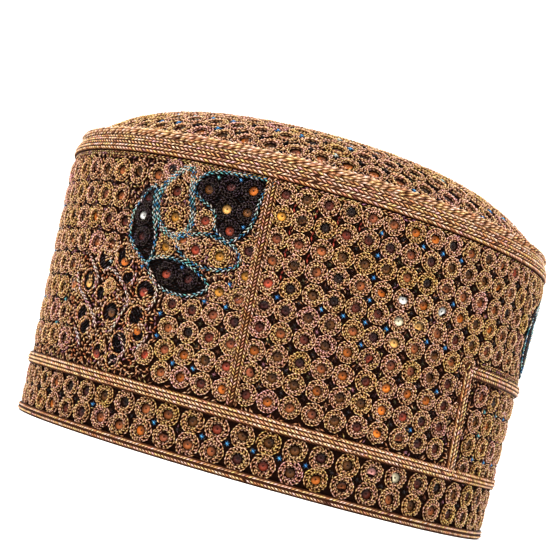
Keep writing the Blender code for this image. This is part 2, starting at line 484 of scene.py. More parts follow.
@dataclass
class Bed:
    """Copies of one small form, laid one by one and then joined into a single mesh."""

    pattern: Pattern
    places: list[np.ndarray] = field(default_factory=list)
    axes: list[np.ndarray] = field(default_factory=list)
    dyes: list[np.ndarray] = field(default_factory=list)

    def lay(self, place: np.ndarray, heading: np.ndarray, out: np.ndarray, size: tuple[float, float, float],
            dye: np.ndarray) -> None:
        """Lay copies of the form.

        Args:
            place: middles of the copies.
            heading: directions of their length.
            out: directions that they show, about square to the heading.
            size: length, width and height of a copy.
            dye: a linear colour for each copy.
        """
        heading = unit(heading)
        side = unit(np.cross(out, heading))
        out = np.cross(heading, side)
        length, width, height = size
        self.places.append(place)
        self.axes.append(np.stack([heading * length, side * width, out * height], axis=1))
        self.dyes.append(dye)

    def joined(self, name: str) -> bpy.types.Object:
        """Join all copies into one object.

        The mesh keeps each copy's colour as the attribute dye, with each point's painted light in its alpha,
        and each point's place in its own copy, in metres, as the attribute lay.

        Args:
            name: the object's name.

        Returns:
            The new object.
        """
        places = np.concatenate(self.places)
        axes = np.concatenate(self.axes)
        dyes = np.concatenate(self.dyes)
        copies, corners = len(places), len(self.pattern.points)
        points = places[:, None, :] + np.einsum("vk,nkc->nvc", self.pattern.points, axes)
        sizes = np.linalg.norm(axes, axis=2)
        local = (self.pattern.points[None, :, :] * sizes[:, None, :]).astype(np.float32)
        triangles = self.pattern.triangles[None, :, :] + corners * np.arange(copies)[:, None, None]
        triangles = triangles.reshape(-1, 3)
        mesh = bpy.data.meshes.new(name)
        mesh.vertices.add(copies * corners)
        mesh.vertices.foreach_set("co", points.astype(np.float32).ravel())
        mesh.loops.add(triangles.size)
        mesh.loops.foreach_set("vertex_index", triangles.astype(np.int32).ravel())
        mesh.polygons.add(len(triangles))
        mesh.polygons.foreach_set("loop_start", np.arange(0, triangles.size, 3, dtype=np.int32))
        mesh.update(calc_edges=True)
        colours = np.ones((copies, corners, 4), np.float32)
        colours[:, :, :3] = (dyes / np.maximum(1.0, dyes.max(axis=1, keepdims=True)))[:, None, :]
        # alpha: each point's painted light, painted highlight and shade on threads, painted shade in a
        # sequin's pit
        colours[:, :, 3] = self.pattern.light
        mesh.attributes.new("dye", "FLOAT_COLOR", "POINT").data.foreach_set("color", colours.ravel())
        mesh.attributes.new("lay", "FLOAT_VECTOR", "POINT").data.foreach_set("vector", local.ravel())
        mesh.validate()
        mesh.shade_smooth()
        piece = bpy.data.objects.new(name, mesh)
        bpy.context.scene.collection.objects.link(piece)
        return piece


class Signal:
    """One output of a shader node, which takes part in arithmetic."""

    def __init__(self, tree: bpy.types.NodeTree, socket: bpy.types.NodeSocket) -> None:
        """Wrap a socket of a tree."""
        self.tree = tree
        self.socket = socket

    def math(self, operation: str, other: "Signal | float | None" = None, swapped: bool = False) -> "Signal":
        """Add a Math node.

        Args:
            operation: Blender's name of the operation.
            other: the second value, where there is one.
            swapped: whether the other value comes first.

        Returns:
            The node's result.
        """
        node = self.tree.nodes.new("ShaderNodeMath")
        node.operation = operation
        values = [self] if other is None else [other, self] if swapped else [self, other]
        for index, value in enumerate(values):
            if isinstance(value, Signal):
                self.tree.links.new(value.socket, node.inputs[index])
            else:
                node.inputs[index].default_value = value
        return Signal(self.tree, node.outputs[0])

    def __add__(self, other: "Signal | float") -> "Signal":
        """Sum."""
        return self.math("ADD", other)

    def __radd__(self, other: float) -> "Signal":
        """Sum with a number first."""
        return self.math("ADD", other, swapped=True)

    def __sub__(self, other: "Signal | float") -> "Signal":
        """Difference."""
        return self.math("SUBTRACT", other)

    def __rsub__(self, other: float) -> "Signal":
        """Difference from a number."""
        return self.math("SUBTRACT", other, swapped=True)

    def __mul__(self, other: "Signal | float") -> "Signal":
        """Product."""
        return self.math("MULTIPLY", other)

    def __rmul__(self, other: float) -> "Signal":
        """Product with a number first."""
        return self.math("MULTIPLY", other, swapped=True)

    def wave(self) -> "Signal":
        """Sine, brought to run from 0 to 1."""
        return self.math("SINE") * 0.5 + 0.5

    def clamped(self) -> "Signal":
        """The value kept between 0 and 1."""
        return self.math("MAXIMUM", 0.0).math("MINIMUM", 1.0)


class Palette:
    """Nodes of one material, with its Principled shader."""

    def __init__(self, name: str) -> None:
        """Make the material and keep its tree and shader."""
        self.material = bpy.data.materials.new(name)
        self.material.use_nodes = True
        self.tree = self.material.node_tree
        self.shader = self.tree.nodes["Principled BSDF"]

    def node(self, kind: str, settings: dict[str, object] | None = None,
             values: dict[str, object] | None = None, output: str | int = 0) -> Signal:
        """Add any node.

        Args:
            kind: Blender's name of the node's type.
            settings: its properties, set first.
            values: numbers, colours or signals for its input sockets, by name or number.
            output: name or number of the output that is wanted.

        Returns:
            That output.
        """
        made = self.tree.nodes.new(kind)
        for name, value in (settings or {}).items():
            setattr(made, name, value)
        for name, value in (values or {}).items():
            if isinstance(value, Signal):
                self.tree.links.new(value.socket, made.inputs[name])
            else:
                made.inputs[name].default_value = value
        return Signal(self.tree, made.outputs[output])

    def place(self) -> Signal:
        """Object coordinates."""
        return self.node("ShaderNodeTexCoord", output="Object")

    def attribute(self, name: str, output: str = "Vector") -> Signal:
        """An attribute of the mesh."""
        return self.node("ShaderNodeAttribute", {"attribute_name": name}, output=output)

    def parts(self, vector: Signal) -> tuple[Signal, Signal, Signal]:
        """The three numbers of a vector."""
        made = self.node("ShaderNodeSeparateXYZ", values={"Vector": vector})
        return tuple(Signal(self.tree, socket) for socket in made.socket.node.outputs)

    def noise(self, place: Signal, scale: float, detail: float = 3.0) -> Signal:
        """Soft noise from 0 to 1 at a scale per metre."""
        return self.node("ShaderNodeTexNoise", {"noise_dimensions": "3D"},
                         {"Vector": place, "Scale": scale, "Detail": detail, "Roughness": 0.6}, "Fac")

    def mixed(self, factor: Signal | float, first: Signal | tuple, second: Signal | tuple,
              blend: str = "MIX") -> Signal:
        """Mix two colours.

        Args:
            factor: share of the second colour.
            first: a signal or four numbers.
            second: a signal or four numbers.
            blend: Blender's name of the way they are mixed.

        Returns:
            The mixed colour.
        """
        return self.node("ShaderNodeMix", {"data_type": "RGBA", "blend_type": blend, "clamp_result": True},
                         {0: factor, 6: first, 7: second}, 2)

    def grey(self, value: Signal) -> Signal:
        """A number as a grey colour."""
        return self.node("ShaderNodeCombineColor", values={"Red": value, "Green": value, "Blue": value})

    def feed(self, socket: str, signal: Signal) -> None:
        """Lead a signal into the shader."""
        self.tree.links.new(signal.socket, self.shader.inputs[socket])

    def fixed(self, **values: object) -> None:
        """Set numbers or colours on the shader's own sockets, spaces written as underscores."""
        for name, value in values.items():
            self.shader.inputs[name.replace("_", " ")].default_value = value

    def bump(self, height: Signal, distance: float, strength: float = 1.0) -> None:
        """Raise the surface by a signal from 0 to 1.

        Args:
            height: the signal.
            distance: how high 1 stands, in metres.
            strength: share of the effect.
        """
        relief = self.node("ShaderNodeBump", values={"Height": height, "Distance": distance,
                                                     "Strength": strength})
        self.feed("Normal", relief)


@dataclass(frozen=True)
class ThreadFinish:
    """Twisted embroidery thread that takes its colour from each stitch, with painted shade at its foot and a
    painted highlight on its crest.
    """

    name: str = "embroidery_thread"
    plies_per_metre: float = 3400.0
    twist: float = 1.1
    relief: float = 0.00007
    roughness: float = 0.50
    gloss: float = 0.06
    # colour factors for painted shade at a stitch's foot, its own colour, and a painted highlight on its
    # crest
    painted_foot_shade: tuple[float, ...] = (0.12, 0.052, 0.036, 1.0)
    body: tuple[float, ...] = (1.16, 0.98, 0.88, 1.0)
    painted_sheen: tuple[float, ...] = (1.65, 2.3, 4.1, 1.0)
    ply_groove_shade: float = 0.26

    def made(self) -> bpy.types.Material:
        """Build the material."""
        work = Palette(self.name)
        along, across, height = work.parts(work.attribute("lay"))
        plies = ((along + (across + height) * self.twist) * (self.plies_per_metre * math.tau / 2)).wave()
        fuzz = work.noise(work.place(), 1600.0)
        # painted shade in the grooves between the plies, on top of their bump, with random fuzz
        light = plies * self.ply_groove_shade + fuzz * 0.35 + (1.0 - self.ply_groove_shade - 0.13)
        # the dye's alpha is painted light: painted shade at each stitch's foot, its own colour between, a
        # painted highlight on its crest
        dye, crest = work.attribute("dye", "Color"), work.attribute("dye", "Alpha")
        painted_foot_shade, body, painted_sheen = (work.mixed(1.0, dye, share, "MULTIPLY")
                             for share in (self.painted_foot_shade, self.body, self.painted_sheen))
        painted_light_colour = work.mixed(crest.math("POWER", 1.6), painted_foot_shade, body)
        painted_light_colour = work.mixed(crest.math("POWER", 3.6), painted_light_colour, painted_sheen)
        work.feed("Base Color", work.mixed(1.0, painted_light_colour, work.grey(light), "MULTIPLY"))
        work.feed("Roughness", fuzz * 0.2 + (self.roughness - 0.1))
        work.bump(plies * 0.7 + fuzz * 0.3, self.relief)
        work.fixed(Specular_IOR_Level=self.gloss)
        return work.material


@dataclass(frozen=True)
class SequinFinish:
    """Glossy sequin film, coloured piece by piece, scratched, darker to its edge, with painted pit shade."""

    name: str = "sequin_film"
    roughness: float = 0.26
    metal: float = 0.12
    hole: float = 0.00026

    def made(self) -> bpy.types.Material:
        """Build the material."""
        work = Palette(self.name)
        along, across, _ = work.parts(work.attribute("lay"))
        reach = (along * along + across * across).math("SQRT")
        rim = (reach * 620.0 - 0.45).clamped()
        closed = ((reach - self.hole) * 9000.0).clamped()
        scratches = work.noise(work.place(), 2600.0, 2.0)
        # lit is painted light, painted shade under the pit's upper rim; the factor also holds the scratches,
        # the darkening towards the edge and the dark needle hole
        dye, lit = work.attribute("dye", "Color"), work.attribute("dye", "Alpha")
        wear_and_painted_shade = work.grey((1.10 - rim * 0.35 - scratches * 0.25) * (closed * 0.92 + 0.08) * lit)
        work.feed("Base Color", work.mixed(1.0, dye, wear_and_painted_shade, "MULTIPLY"))
        work.feed("Roughness", scratches * 0.16 + (self.roughness - 0.06))
        work.bump(scratches, 0.00003)
        work.fixed(Metallic=self.metal, Coat_Weight=0.05, Coat_Roughness=0.2, Specular_IOR_Level=0.1)
        return work.material


@dataclass(frozen=True)
class ClothFinish:
    """Woven cloth, drawn on the piece's own UV map in metres."""

    name: str
    warp: tuple[int, int, int]
    weft: tuple[int, int, int]
    threads_per_metre: float = 1500.0
    relief: float = 0.00012
    roughness: float = 0.85

    def made(self) -> bpy.types.Material:
        """Build the material."""
        work = Palette(self.name)
        map_place = work.node("ShaderNodeUVMap", {"uv_map": "UVMap"})
        across, up, _ = work.parts(map_place)
        pull = (work.noise(map_place, 220.0) - 0.5) * 0.0006
        turn = self.threads_per_metre * math.tau
        warps = ((across + pull) * turn).wave()
        wefts = ((up + pull) * turn).wave()
        over = (warps - wefts) * 0.5 + 0.5
        worn = work.noise(map_place, 90.0)
        cloth = work.mixed(over, self.colour(self.warp), self.colour(self.weft))
        work.feed("Base Color", work.mixed(1.0, cloth, work.grey(worn * 0.5 + 0.75), "MULTIPLY"))
        work.feed("Roughness", worn * 0.15 + (self.roughness - 0.08))
        work.bump(over * 0.6 + warps * wefts * 0.4, self.relief)
        work.fixed(Specular_IOR_Level=0.02)
        return work.material

    @staticmethod
    def colour(shade: tuple[int, int, int]) -> tuple[float, float, float, float]:
        """A colour from 0 to 255 in linear light, with full cover."""
        return (*linear_light(shade), 1.0)


@dataclass(frozen=True)
class CoreFinish:
    """Dark twisted filling of a trim, seen in the slits between its strands."""

    name: str = "braid_filling"
    shade: tuple[int, int, int] = (52, 25, 11)

    def made(self) -> bpy.types.Material:
        """Build the material."""
        work = Palette(self.name)
        x, y, z = work.parts(work.place())
        strands = ((x + y + z * 1.6) * 5200.0).wave()
        fuzz = work.noise(work.place(), 1300.0)
        dark = ClothFinish.colour(self.shade)
        # the stripes darken the grooves between the strands: painted shade, on top of their bump, with
        # random fuzz
        work.feed("Base Color", work.mixed(1.0, dark, work.grey(strands * 0.5 + fuzz * 0.6 + 0.2),
                                           "MULTIPLY"))
        work.feed("Roughness", fuzz * 0.2 + 0.6)
        work.bump(strands, 0.0001)
        work.fixed(Specular_IOR_Level=0.04)
        return work.material


@dataclass(frozen=True)
class FloorFinish:
    """Seamless pale studio paper."""

    name: str = "studio_paper"
    glow: float = 0.46

    def made(self) -> bpy.types.Material:
        """Build the material."""
        work = Palette(self.name)
        grain = work.noise(work.place(), 60.0)
        work.feed("Base Color", work.mixed(grain, (0.90, 0.90, 0.90, 1.0), (0.94, 0.94, 0.94, 1.0)))
        work.feed("Roughness", grain * 0.1 + 0.8)
        work.fixed(Specular_IOR_Level=0.1, Emission_Color=(1.0, 1.0, 1.0, 1.0), Emission_Strength=self.glow)
        return work.material


@dataclass
class Workshop:
    """What every sub-assembly uses: the modelled small forms and the finishes."""

    grain: Pattern
    sequin: Pattern
    thread: bpy.types.Material
    film: bpy.types.Material
    core: bpy.types.Material

    @classmethod
    def opened(cls) -> "Workshop":
        """Model the small forms and mix the finishes."""
        return cls(Pattern.grain(), Pattern.sequin(), ThreadFinish().made(), SequinFinish().made(),
                   CoreFinish().made())

    def finished(self, piece: bpy.types.Object, material: bpy.types.Material,
                 slot: Slot) -> bpy.types.Object:
        """Dress a piece and set it on the cap's body.

        Args:
            piece: the object.
            material: its finish.
            slot: not used.

        Returns:
            The same object.
        """
        if material.name not in piece.data.materials:
            piece.data.materials.append(material)
        slot.value
        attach(piece, BODY)
        LOG.info("%s: %d triangles", piece.name, sum(len(face.vertices) - 2 for face in piece.data.polygons))
        return piece


def tinted(dyes: dict[Shade, float], count: int, rng: np.random.Generator,
           spread: float = 0.12) -> np.ndarray:
    """Colours picked from named shades, each a little lighter or darker.

    Args:
        dyes: the shades to pick from, and how often each is picked.
        count: how many colours are wanted.
        rng: source of the draws.
        spread: share by which the lightness varies.

    Returns:
        Linear colours, a row for each.
    """
    weights = list(dyes.values())
    picks = rng.choice(len(dyes), size=count, p=np.array(weights) / sum(weights))
    light = 1 + spread * rng.standard_normal((count, 1))
    return np.array([shade.linear for shade in dyes])[picks] * np.clip(light, 0.5, 1.6)


THREAD_TINTS = np.array([[1.0, 1.0, 1.0], [1.05, 1.10, 0.84], [1.10, 0.99, 1.20], [0.80, 0.70, 0.60]])
THREAD_TINT_SHARES = [0.25, 0.30, 0.25, 0.20]
RING_TINTS = np.array([[1.0, 1.0, 1.0], [1.02, 1.06, 0.90], [1.04, 0.98, 1.06]])
RING_DYES = {Shade.TAN: 10, Shade.GOLD_TAN: 2, Shade.ROSE_TAN: 1}
SEQUIN_DYES = {Shade.COPPER: 5.0, Shade.ORANGE: 2.5, Shade.BLUSH: 1.8, Shade.RED: 0.7, Shade.MAROON: 3.0,
               Shade.PLUM: 1.2, Shade.UMBER: 4.5, Shade.DARK_BROWN: 2.0}
TRIM_DYES = {Shade.PALE_TAN: 1.5, Shade.TAN: 6, Shade.GOLD_TAN: 3, Shade.ROSE_TAN: 1, Shade.COPPER_TAN: 2.5,
             Shade.BROWN: 0.3}
PANEL_TRIM_DYES = {Shade.PALE_TAN: 0.5, Shade.TAN: 6, Shade.GOLD_TAN: 3, Shade.ROSE_TAN: 1,
                   Shade.COPPER_TAN: 3,
                   Shade.BROWN: 0.3}
CHAIN_DYES = {Shade.OLIVE_TAN: 4, Shade.TAN: 4, Shade.COPPER_TAN: 2, Shade.MAUVE: 1.5, Shade.GOLD_TAN: 2}
OUTLINE_DYES = {Shade.SKY: 5, Shade.PALE_SKY: 2.5, Shade.BLUE: 0.8, Shade.TEAL: 3, Shade.DEEP_TEAL: 4}
PALE_LINE_DYES = {Shade.PALE_ROSE: 5, Shade.WHITE: 3, Shade.PINK: 2, Shade.MAUVE: 1.5}
ARCH_DYES = {Shade.TAN: 5, Shade.COPPER_TAN: 2, Shade.GOLD_TAN: 3, Shade.ROSE_TAN: 1}
CROWN_CROSS_DYES = {Shade.BLACK: 6, Shade.DARK_GREY: 3, Shade.BLUE: 2.6, Shade.SKY: 1.0}
WALL_CROSS_DYES = {Shade.DARK_GREY: 5, Shade.DARK_BROWN: 5, Shade.DARK_OLIVE: 3, Shade.BROWN: 2,
                   Shade.MAUVE: 1}


@dataclass(frozen=True)
class Yarn:
    """A kind of loose stitch: its length, width and height, its lift over the cloth, and its dyes."""

    size: tuple[float, float, float]
    lift: float
    dyes: dict[Shade, float]


TUFT = Yarn((0.0022, 0.00045, 0.0006), 0.00012, {
    Shade.DARK_OLIVE: 4, Shade.DARK_GREY: 4, Shade.DARK_BROWN: 3, Shade.MAUVE: 1.5, Shade.OLIVE_TAN: 1.2,
    Shade.COPPER_TAN: 1.2})
GROUND = Yarn((0.0026, 0.00075, 0.0010), 0.0003, {
    Shade.TAN: 4, Shade.COPPER_TAN: 4, Shade.OLIVE_TAN: 2, Shade.MAUVE: 1, Shade.BROWN: 3,
    Shade.DARK_BROWN: 3})
FILLER = Yarn((0.0024, 0.00055, 0.0009), 0.0003, {
    Shade.TAN: 4, Shade.COPPER_TAN: 4, Shade.GOLD_TAN: 3, Shade.MAUVE: 1.5, Shade.DARK_BROWN: 4})
KNOT = Yarn((0.0025, 0.00090, 0.0012), 0.0004, {
    Shade.GOLD_TAN: 2.5, Shade.TAN: 5, Shade.PALE_TAN: 1, Shade.COPPER_TAN: 5, Shade.COPPER: 2,
    Shade.MAUVE: 1.5})
GOLDEN_KNOT = Yarn((0.0025, 0.00090, 0.0012), 0.0004 + 0.0006, {
    Shade.GOLD_TAN: 6, Shade.TAN: 2, Shade.PALE_TAN: 4, Shade.COPPER_TAN: 1, Shade.COPPER: 0.5,
    Shade.MAUVE: 0.2})


class Circuit(NamedTuple):
    """One round of stitches in a ring: sizes of a stitch and how it lies."""

    radius: float
    stitches: int
    length: float
    width: float
    height: float
    lift: float
    slant: float
    lean: float


CIRCUITS = (
    Circuit(0.00374, 20, 0.00200, 0.00078, 0.00130, lift=0.00036, slant=10.0, lean=25.0),
    Circuit(0.00310, 17, 0.00150, 0.00066, 0.00100, lift=0.00074, slant=48.0, lean=0.0),
    Circuit(0.00250, 14, 0.00190, 0.00078, 0.00140, lift=0.00080, slant=-18.0, lean=-12.0),
    Circuit(0.00212, 10, 0.00170, 0.00070, 0.00120, lift=0.00036, slant=10.0, lean=-40.0),
)
# the innermost round is darkened: painted shade on the wall of the sequin's pit
INNER_PAINTED_SHADE = 0.45
SEQUIN_DIAMETER = 0.0036
SEQUIN_LIFT = 0.00010
SEQUIN_TILT = 10.0
SEQUIN_TURN = 28.0


class Strand(NamedTuple):
    """A row of strands in a plait or chain: how far beside its line, how each lies, its lift and length."""

    beside: float
    slant: float
    lift: float
    length: float


@dataclass(frozen=True)
class Plait:
    """Rows of slanted strands that follow a line: their pitch along it, width, height and brightness."""

    pitch: float
    width: float
    height: float
    strands: tuple[Strand, ...]
    bright: float = 1.0


TRIM_BRIGHT = 1.14
CROWN_PLAIT = Plait(0.0019, 0.00110, 0.0015, (
    Strand(0.0024, -20.0, 0.0016, 0.0044), Strand(0.0012, 17.0, 0.0018, 0.0044),
    Strand(0.0, -22.0, 0.0019, 0.0044),
    Strand(-0.0012, 17.0, 0.0018, 0.0044), Strand(-0.0024, -20.0, 0.0016, 0.0044)), TRIM_BRIGHT)
BAND_PLAIT = Plait(0.0016, 0.00105, 0.0014, (
    Strand(0.0015, 20.0, 0.0014, 0.0040), Strand(0.0002, -24.0, 0.0017, 0.0040),
    Strand(-0.0012, -24.0, 0.0015, 0.0040)), TRIM_BRIGHT)
HEM_PLAIT = Plait(0.0013, 0.0010, 0.0013, (
    Strand(0.00078, 20.0, 0.00145, 0.0036), Strand(-0.00078, -24.0, 0.00145, 0.0034)), TRIM_BRIGHT)
PANEL_PLAIT = Plait(0.0013, 0.00080, 0.0011, (
    Strand(-0.0018, 32.0, 0.0012, 0.0025), Strand(-0.0006, -32.0, 0.0017, 0.0025),
    Strand(0.0006, 32.0, 0.0017, 0.0025), Strand(0.0018, -32.0, 0.0012, 0.0025)))
LINE_CHAIN = Plait(0.0019, 0.0007, 0.00077, (
    Strand(0.0004, 20.0, 0.0006, 0.0027), Strand(-0.0004, -20.0, 0.0006, 0.0027)))
MOTIF_CHAIN = Plait(0.0019, 0.00060, 0.0010, (
    Strand(0.00032, 23.0, 0.00065, 0.0025), Strand(-0.00032, -23.0, 0.00065, 0.0025)))
ARCH = Plait(0.0014, 0.0009, 0.0011, (Strand(0.0, 14.0, 0.0006, 0.0024),))


def charted(marks: Iterable[tuple], turn: float = 0.0) -> np.ndarray:
    """Lengths round the wall and heights, from rows that start with an azimuth and a height in millimetres.

    Args:
        marks: the rows.
        turn: degrees by which they are turned round the cap.

    Returns:
        A row for each mark.
    """
    table = np.array([mark[:2] for mark in marks], float)
    return np.stack([FORM.length_at(table[:, 0] + turn), table[:, 1] * MM], axis=1)


def nearest(spots: np.ndarray, points: np.ndarray) -> np.ndarray:
    """Distance from each spot to the nearest of some points."""
    return np.hypot(*(spots[:, None, :] - points[None]).transpose(2, 0, 1)).min(axis=1)


def spaced(spots: np.ndarray, gap: float) -> np.ndarray:
    """Spots that are at least a gap apart, picked in their order.

    Args:
        spots: lengths round the wall and heights.
        gap: the least distance between two of them.

    Returns:
        The spots that are kept.
    """
    kept: list[np.ndarray] = []
    for spot in spots:
        if not kept or np.hypot(*(np.array(kept) - spot).T).min() > gap:
            kept.append(spot)
    return np.array(kept)


def drawn(points: Iterable[tuple], closed: bool, turn: float = 0.0, steps: int = 8) -> np.ndarray:
    """Smooth line through a few points of the design.

    Args:
        points: azimuths in degrees and heights in millimetres.
        closed: whether the line runs back to its start.
        turn: degrees by which the line is turned round the cap.
        steps: pieces between two points.

    Returns:
        Lengths round the wall and heights, a row for each point.
    """
    marks = charted(points, turn)
    count = len(marks)
    line = []
    for index in range(count if closed else count - 1):
        before, start, end, after = (
            marks[(index + offset) % count if closed else min(max(index + offset, 0), count - 1)]
            for offset in (-1, 0, 1, 2))
        for share in np.arange(steps) / steps:
            line.append(0.5 * (2 * start + (end - before) * share
                               + (2 * before - 5 * start + 4 * end - after) * share ** 2
                               + (3 * start - before - 3 * end + after) * share ** 3))
    return np.array(line if closed else [*line, marks[-1]])


def within(spots: np.ndarray, outline: np.ndarray) -> np.ndarray:
    """Which spots lie inside a closed outline.

    Args:
        spots: lengths round the wall and heights.
        outline: the outline's points, in the same measure.

    Returns:
        True for each spot inside.
    """
    inside = np.zeros(len(spots), bool)
    for start, end in zip(outline, np.roll(outline, -1, axis=0)):
        crosses = (start[1] > spots[:, 1]) != (end[1] > spots[:, 1])
        rise = np.where(end[1] == start[1], 1e-12, end[1] - start[1])
        meets = start[0] + (spots[:, 1] - start[1]) * (end[0] - start[0]) / rise
        inside ^= crosses & (spots[:, 0] < meets)
    return inside


@dataclass
class Needlework:
    """Stitches and sequins in the making, with the source of their random draws."""

    shop: Workshop
    rng: np.random.Generator

    def __post_init__(self) -> None:
        """Lay out empty beds."""
        self.threads = Bed(self.shop.grain)
        self.sequins = Bed(self.shop.sequin)

    def sewn(self, name: str) -> None:
        """Join the stitches into one finished piece."""
        self.shop.finished(self.threads.joined(name), self.shop.thread, Slot.THREAD)

    def spangled(self, name: str) -> None:
        """Join the sequins into one finished piece."""
        self.shop.finished(self.sequins.joined(name), self.shop.film, Slot.THREAD)

    def glints(self, shape: tuple[int, ...], spread: float, top: float) -> np.ndarray:
        """Random light and tint of single stitches.

        Args:
            shape: how many stitches, as an array's shape.
            spread: share by which the light varies.
            top: the strongest light.

        Returns:
            Factors for red, green and blue.
        """
        light = np.clip(1 + spread * self.rng.standard_normal(shape), 0.5, top)[..., None]
        return light * self.rng.choice(THREAD_TINTS, shape, p=THREAD_TINT_SHARES)

    def rings(self, seats: Seats, size: np.ndarray, thread_dye: np.ndarray, sequin_dye: np.ndarray) -> None:
        """Sew a ring of four rounds of slanted stitches and its sequin on each seat.

        Args:
            seats: middles of the rings.
            size: a ring's size as a share of the normal one, for each seat.
            thread_dye: thread colour of each ring.
            sequin_dye: colour of each sequin.
        """
        rng, count = self.rng, len(seats)
        phase = rng.uniform(0, math.tau, (count, 1))
        second = thread_dye * rng.choice(RING_TINTS, count)
        for circuit in CIRCUITS:
            turn = rng.uniform(0, math.tau, (count,
                                             1)) + math.tau * np.arange(circuit.stitches) / circuit.stitches
            turn = turn + rng.normal(0, 0.05, turn.shape)
            cosine, sine = np.cos(turn)[..., None], np.sin(turn)[..., None]
            outward = seats.right[:, None] * cosine + seats.up[:, None] * sine
            onward = seats.up[:, None] * cosine - seats.right[:, None] * sine
            reach = circuit.radius * size[:, None] * (1 + rng.normal(0, 0.03, turn.shape))
            place = seats.place[:, None] + outward * reach[..., None] + seats.out[:, None] * circuit.lift
            slant = np.radians(circuit.slant + rng.normal(0, 7.0, turn.shape))[..., None]
            heading = onward * np.cos(slant) + outward * np.sin(slant)
            lean = math.radians(circuit.lean)
            facing = seats.out[:, None] * math.cos(lean) + outward * math.sin(lean)
            light = self.glints(turn.shape, 0.18, 1.6)
            blend = (0.5 + 0.5 * np.cos(turn - phase))[..., None]
            dye = (thread_dye[:, None, :] * blend + second[:, None, :] * (1 - blend)) * light
            # painted shade on the innermost round, which stands as the pit's wall
            dye = dye * (INNER_PAINTED_SHADE if circuit is CIRCUITS[-1] else 1.0)
            self.threads.lay(place.reshape(-1, 3), heading.reshape(-1, 3), facing.reshape(-1, 3),
                             (circuit.length * float(size.mean()), circuit.width, circuit.height),
                             dye.reshape(-1, 3))
        self.spangle(seats, sequin_dye)

    def spangle(self, seats: Seats, dye: np.ndarray, lift: float = SEQUIN_LIFT) -> None:
        """Lay a slightly tilted sequin on each seat.

        Args:
            seats: their middles.
            dye: their colours.
            lift: height over the cloth.
        """
        tilt = np.radians(self.rng.normal(0, SEQUIN_TILT, (len(seats), 2)))
        out = unit(seats.out + seats.right * tilt[:, :1] + seats.up * tilt[:, 1:])
        turn = np.radians(self.rng.normal(0, SEQUIN_TURN, (len(seats), 1)))
        self.sequins.lay(seats.raised(lift), seats.heading(turn), out, (SEQUIN_DIAMETER,) * 3, dye)

    def strew(self, seats: Seats, yarn: Yarn) -> None:
        """Sew a loose stitch on each seat, in all directions.

        Args:
            seats: middles of the stitches.
            yarn: the kind of stitch.
        """
        turn = self.rng.uniform(0, math.pi, (len(seats), 1))
        dye = tinted(yarn.dyes, len(seats), self.rng, 0.2)
        self.threads.lay(seats.raised(yarn.lift), seats.heading(turn), seats.out, yarn.size, dye)

    def tufts(self, seats: Seats, spread: float, fibres: int = 5) -> None:
        """Sew loose dark fibres round each seat, low on the cloth.

        Args:
            seats: middles of the tufts.
            spread: how far the fibres scatter.
            fibres: how many a tuft has.
        """
        for _ in range(fibres):
            offset = self.rng.normal(0, spread * 0.6, (len(seats), 2))
            place = seats.place + seats.right * offset[:, :1] + seats.up * offset[:, 1:]
            self.strew(replace(seats, place=place), TUFT)

    def crosses(self, seats: Seats, reach: float, dye: np.ndarray) -> None:
        """Sew a cross stitch on each seat.

        Args:
            seats: middles of the crosses.
            reach: length of each arm.
            dye: colour of each cross.
        """
        for arm, lift in ((30.0, 0.0003), (90.0, 0.0005), (150.0, 0.0007)):
            turn = np.radians(arm + self.rng.normal(0, 9.0, len(seats)))[:, None]
            light = np.clip(1 + 0.12 * self.rng.standard_normal((len(seats), 1)), 0.6, 1.4)
            self.threads.lay(seats.raised(lift), seats.heading(turn), seats.out, (reach, 0.0010, 0.0010),
                             dye * light)

    def plait(self, plait: Plait, line: np.ndarray, dyes: dict[Shade, float], closed: bool = False,
              lift: float = 0.0) -> None:
        """Sew a plait along a line.

        Args:
            plait: the plait.
            line: lengths round the wall and heights, a row for each point.
            dyes: thread colours, and how often each is used.
            closed: whether the line runs back to its start.
            lift: height that is added under all strands.
        """
        rng = self.rng
        points = np.vstack([line, line[:1]]) if closed else line
        run = np.concatenate([[0.0], np.cumsum(np.linalg.norm(np.diff(points, axis=0), axis=1))])
        count = max(2, round(run[-1] / plait.pitch))
        step = run[-1] / count

        def along(at: np.ndarray) -> np.ndarray:
            """Points at lengths along the line."""
            return np.stack([np.interp(at, run, points[:, 0]), np.interp(at, run, points[:, 1])], axis=1)

        for index, strand in enumerate(plait.strands):
            at = (np.arange(count) + 0.5 + 0.5 * (index % 2)) * step
            at = at + rng.normal(0, 0.04 * step, count)
            at = at % run[-1] if closed else at[at < run[-1]]
            course = along(np.minimum(at + 0.3 * step, run[-1])) - along(np.maximum(at - 0.3 * step, 0.0))
            angle = np.arctan2(course[:, 1], course[:, 0])
            seats = FORM.on_wall(along(at) + np.stack([-np.sin(angle), np.cos(angle)],
                                                      axis=1) * strand.beside)
            lie = (angle + np.radians(strand.slant + rng.normal(0, 2.5, len(at))))[:, None]
            dye = tinted(dyes, len(at), rng, 0.08) * plait.bright
            self.threads.lay(seats.raised(strand.lift + lift), seats.heading(lie), seats.out,
                             (strand.length, plait.width, plait.height),
                             dye * self.glints((len(at),), 0.16, 1.5))

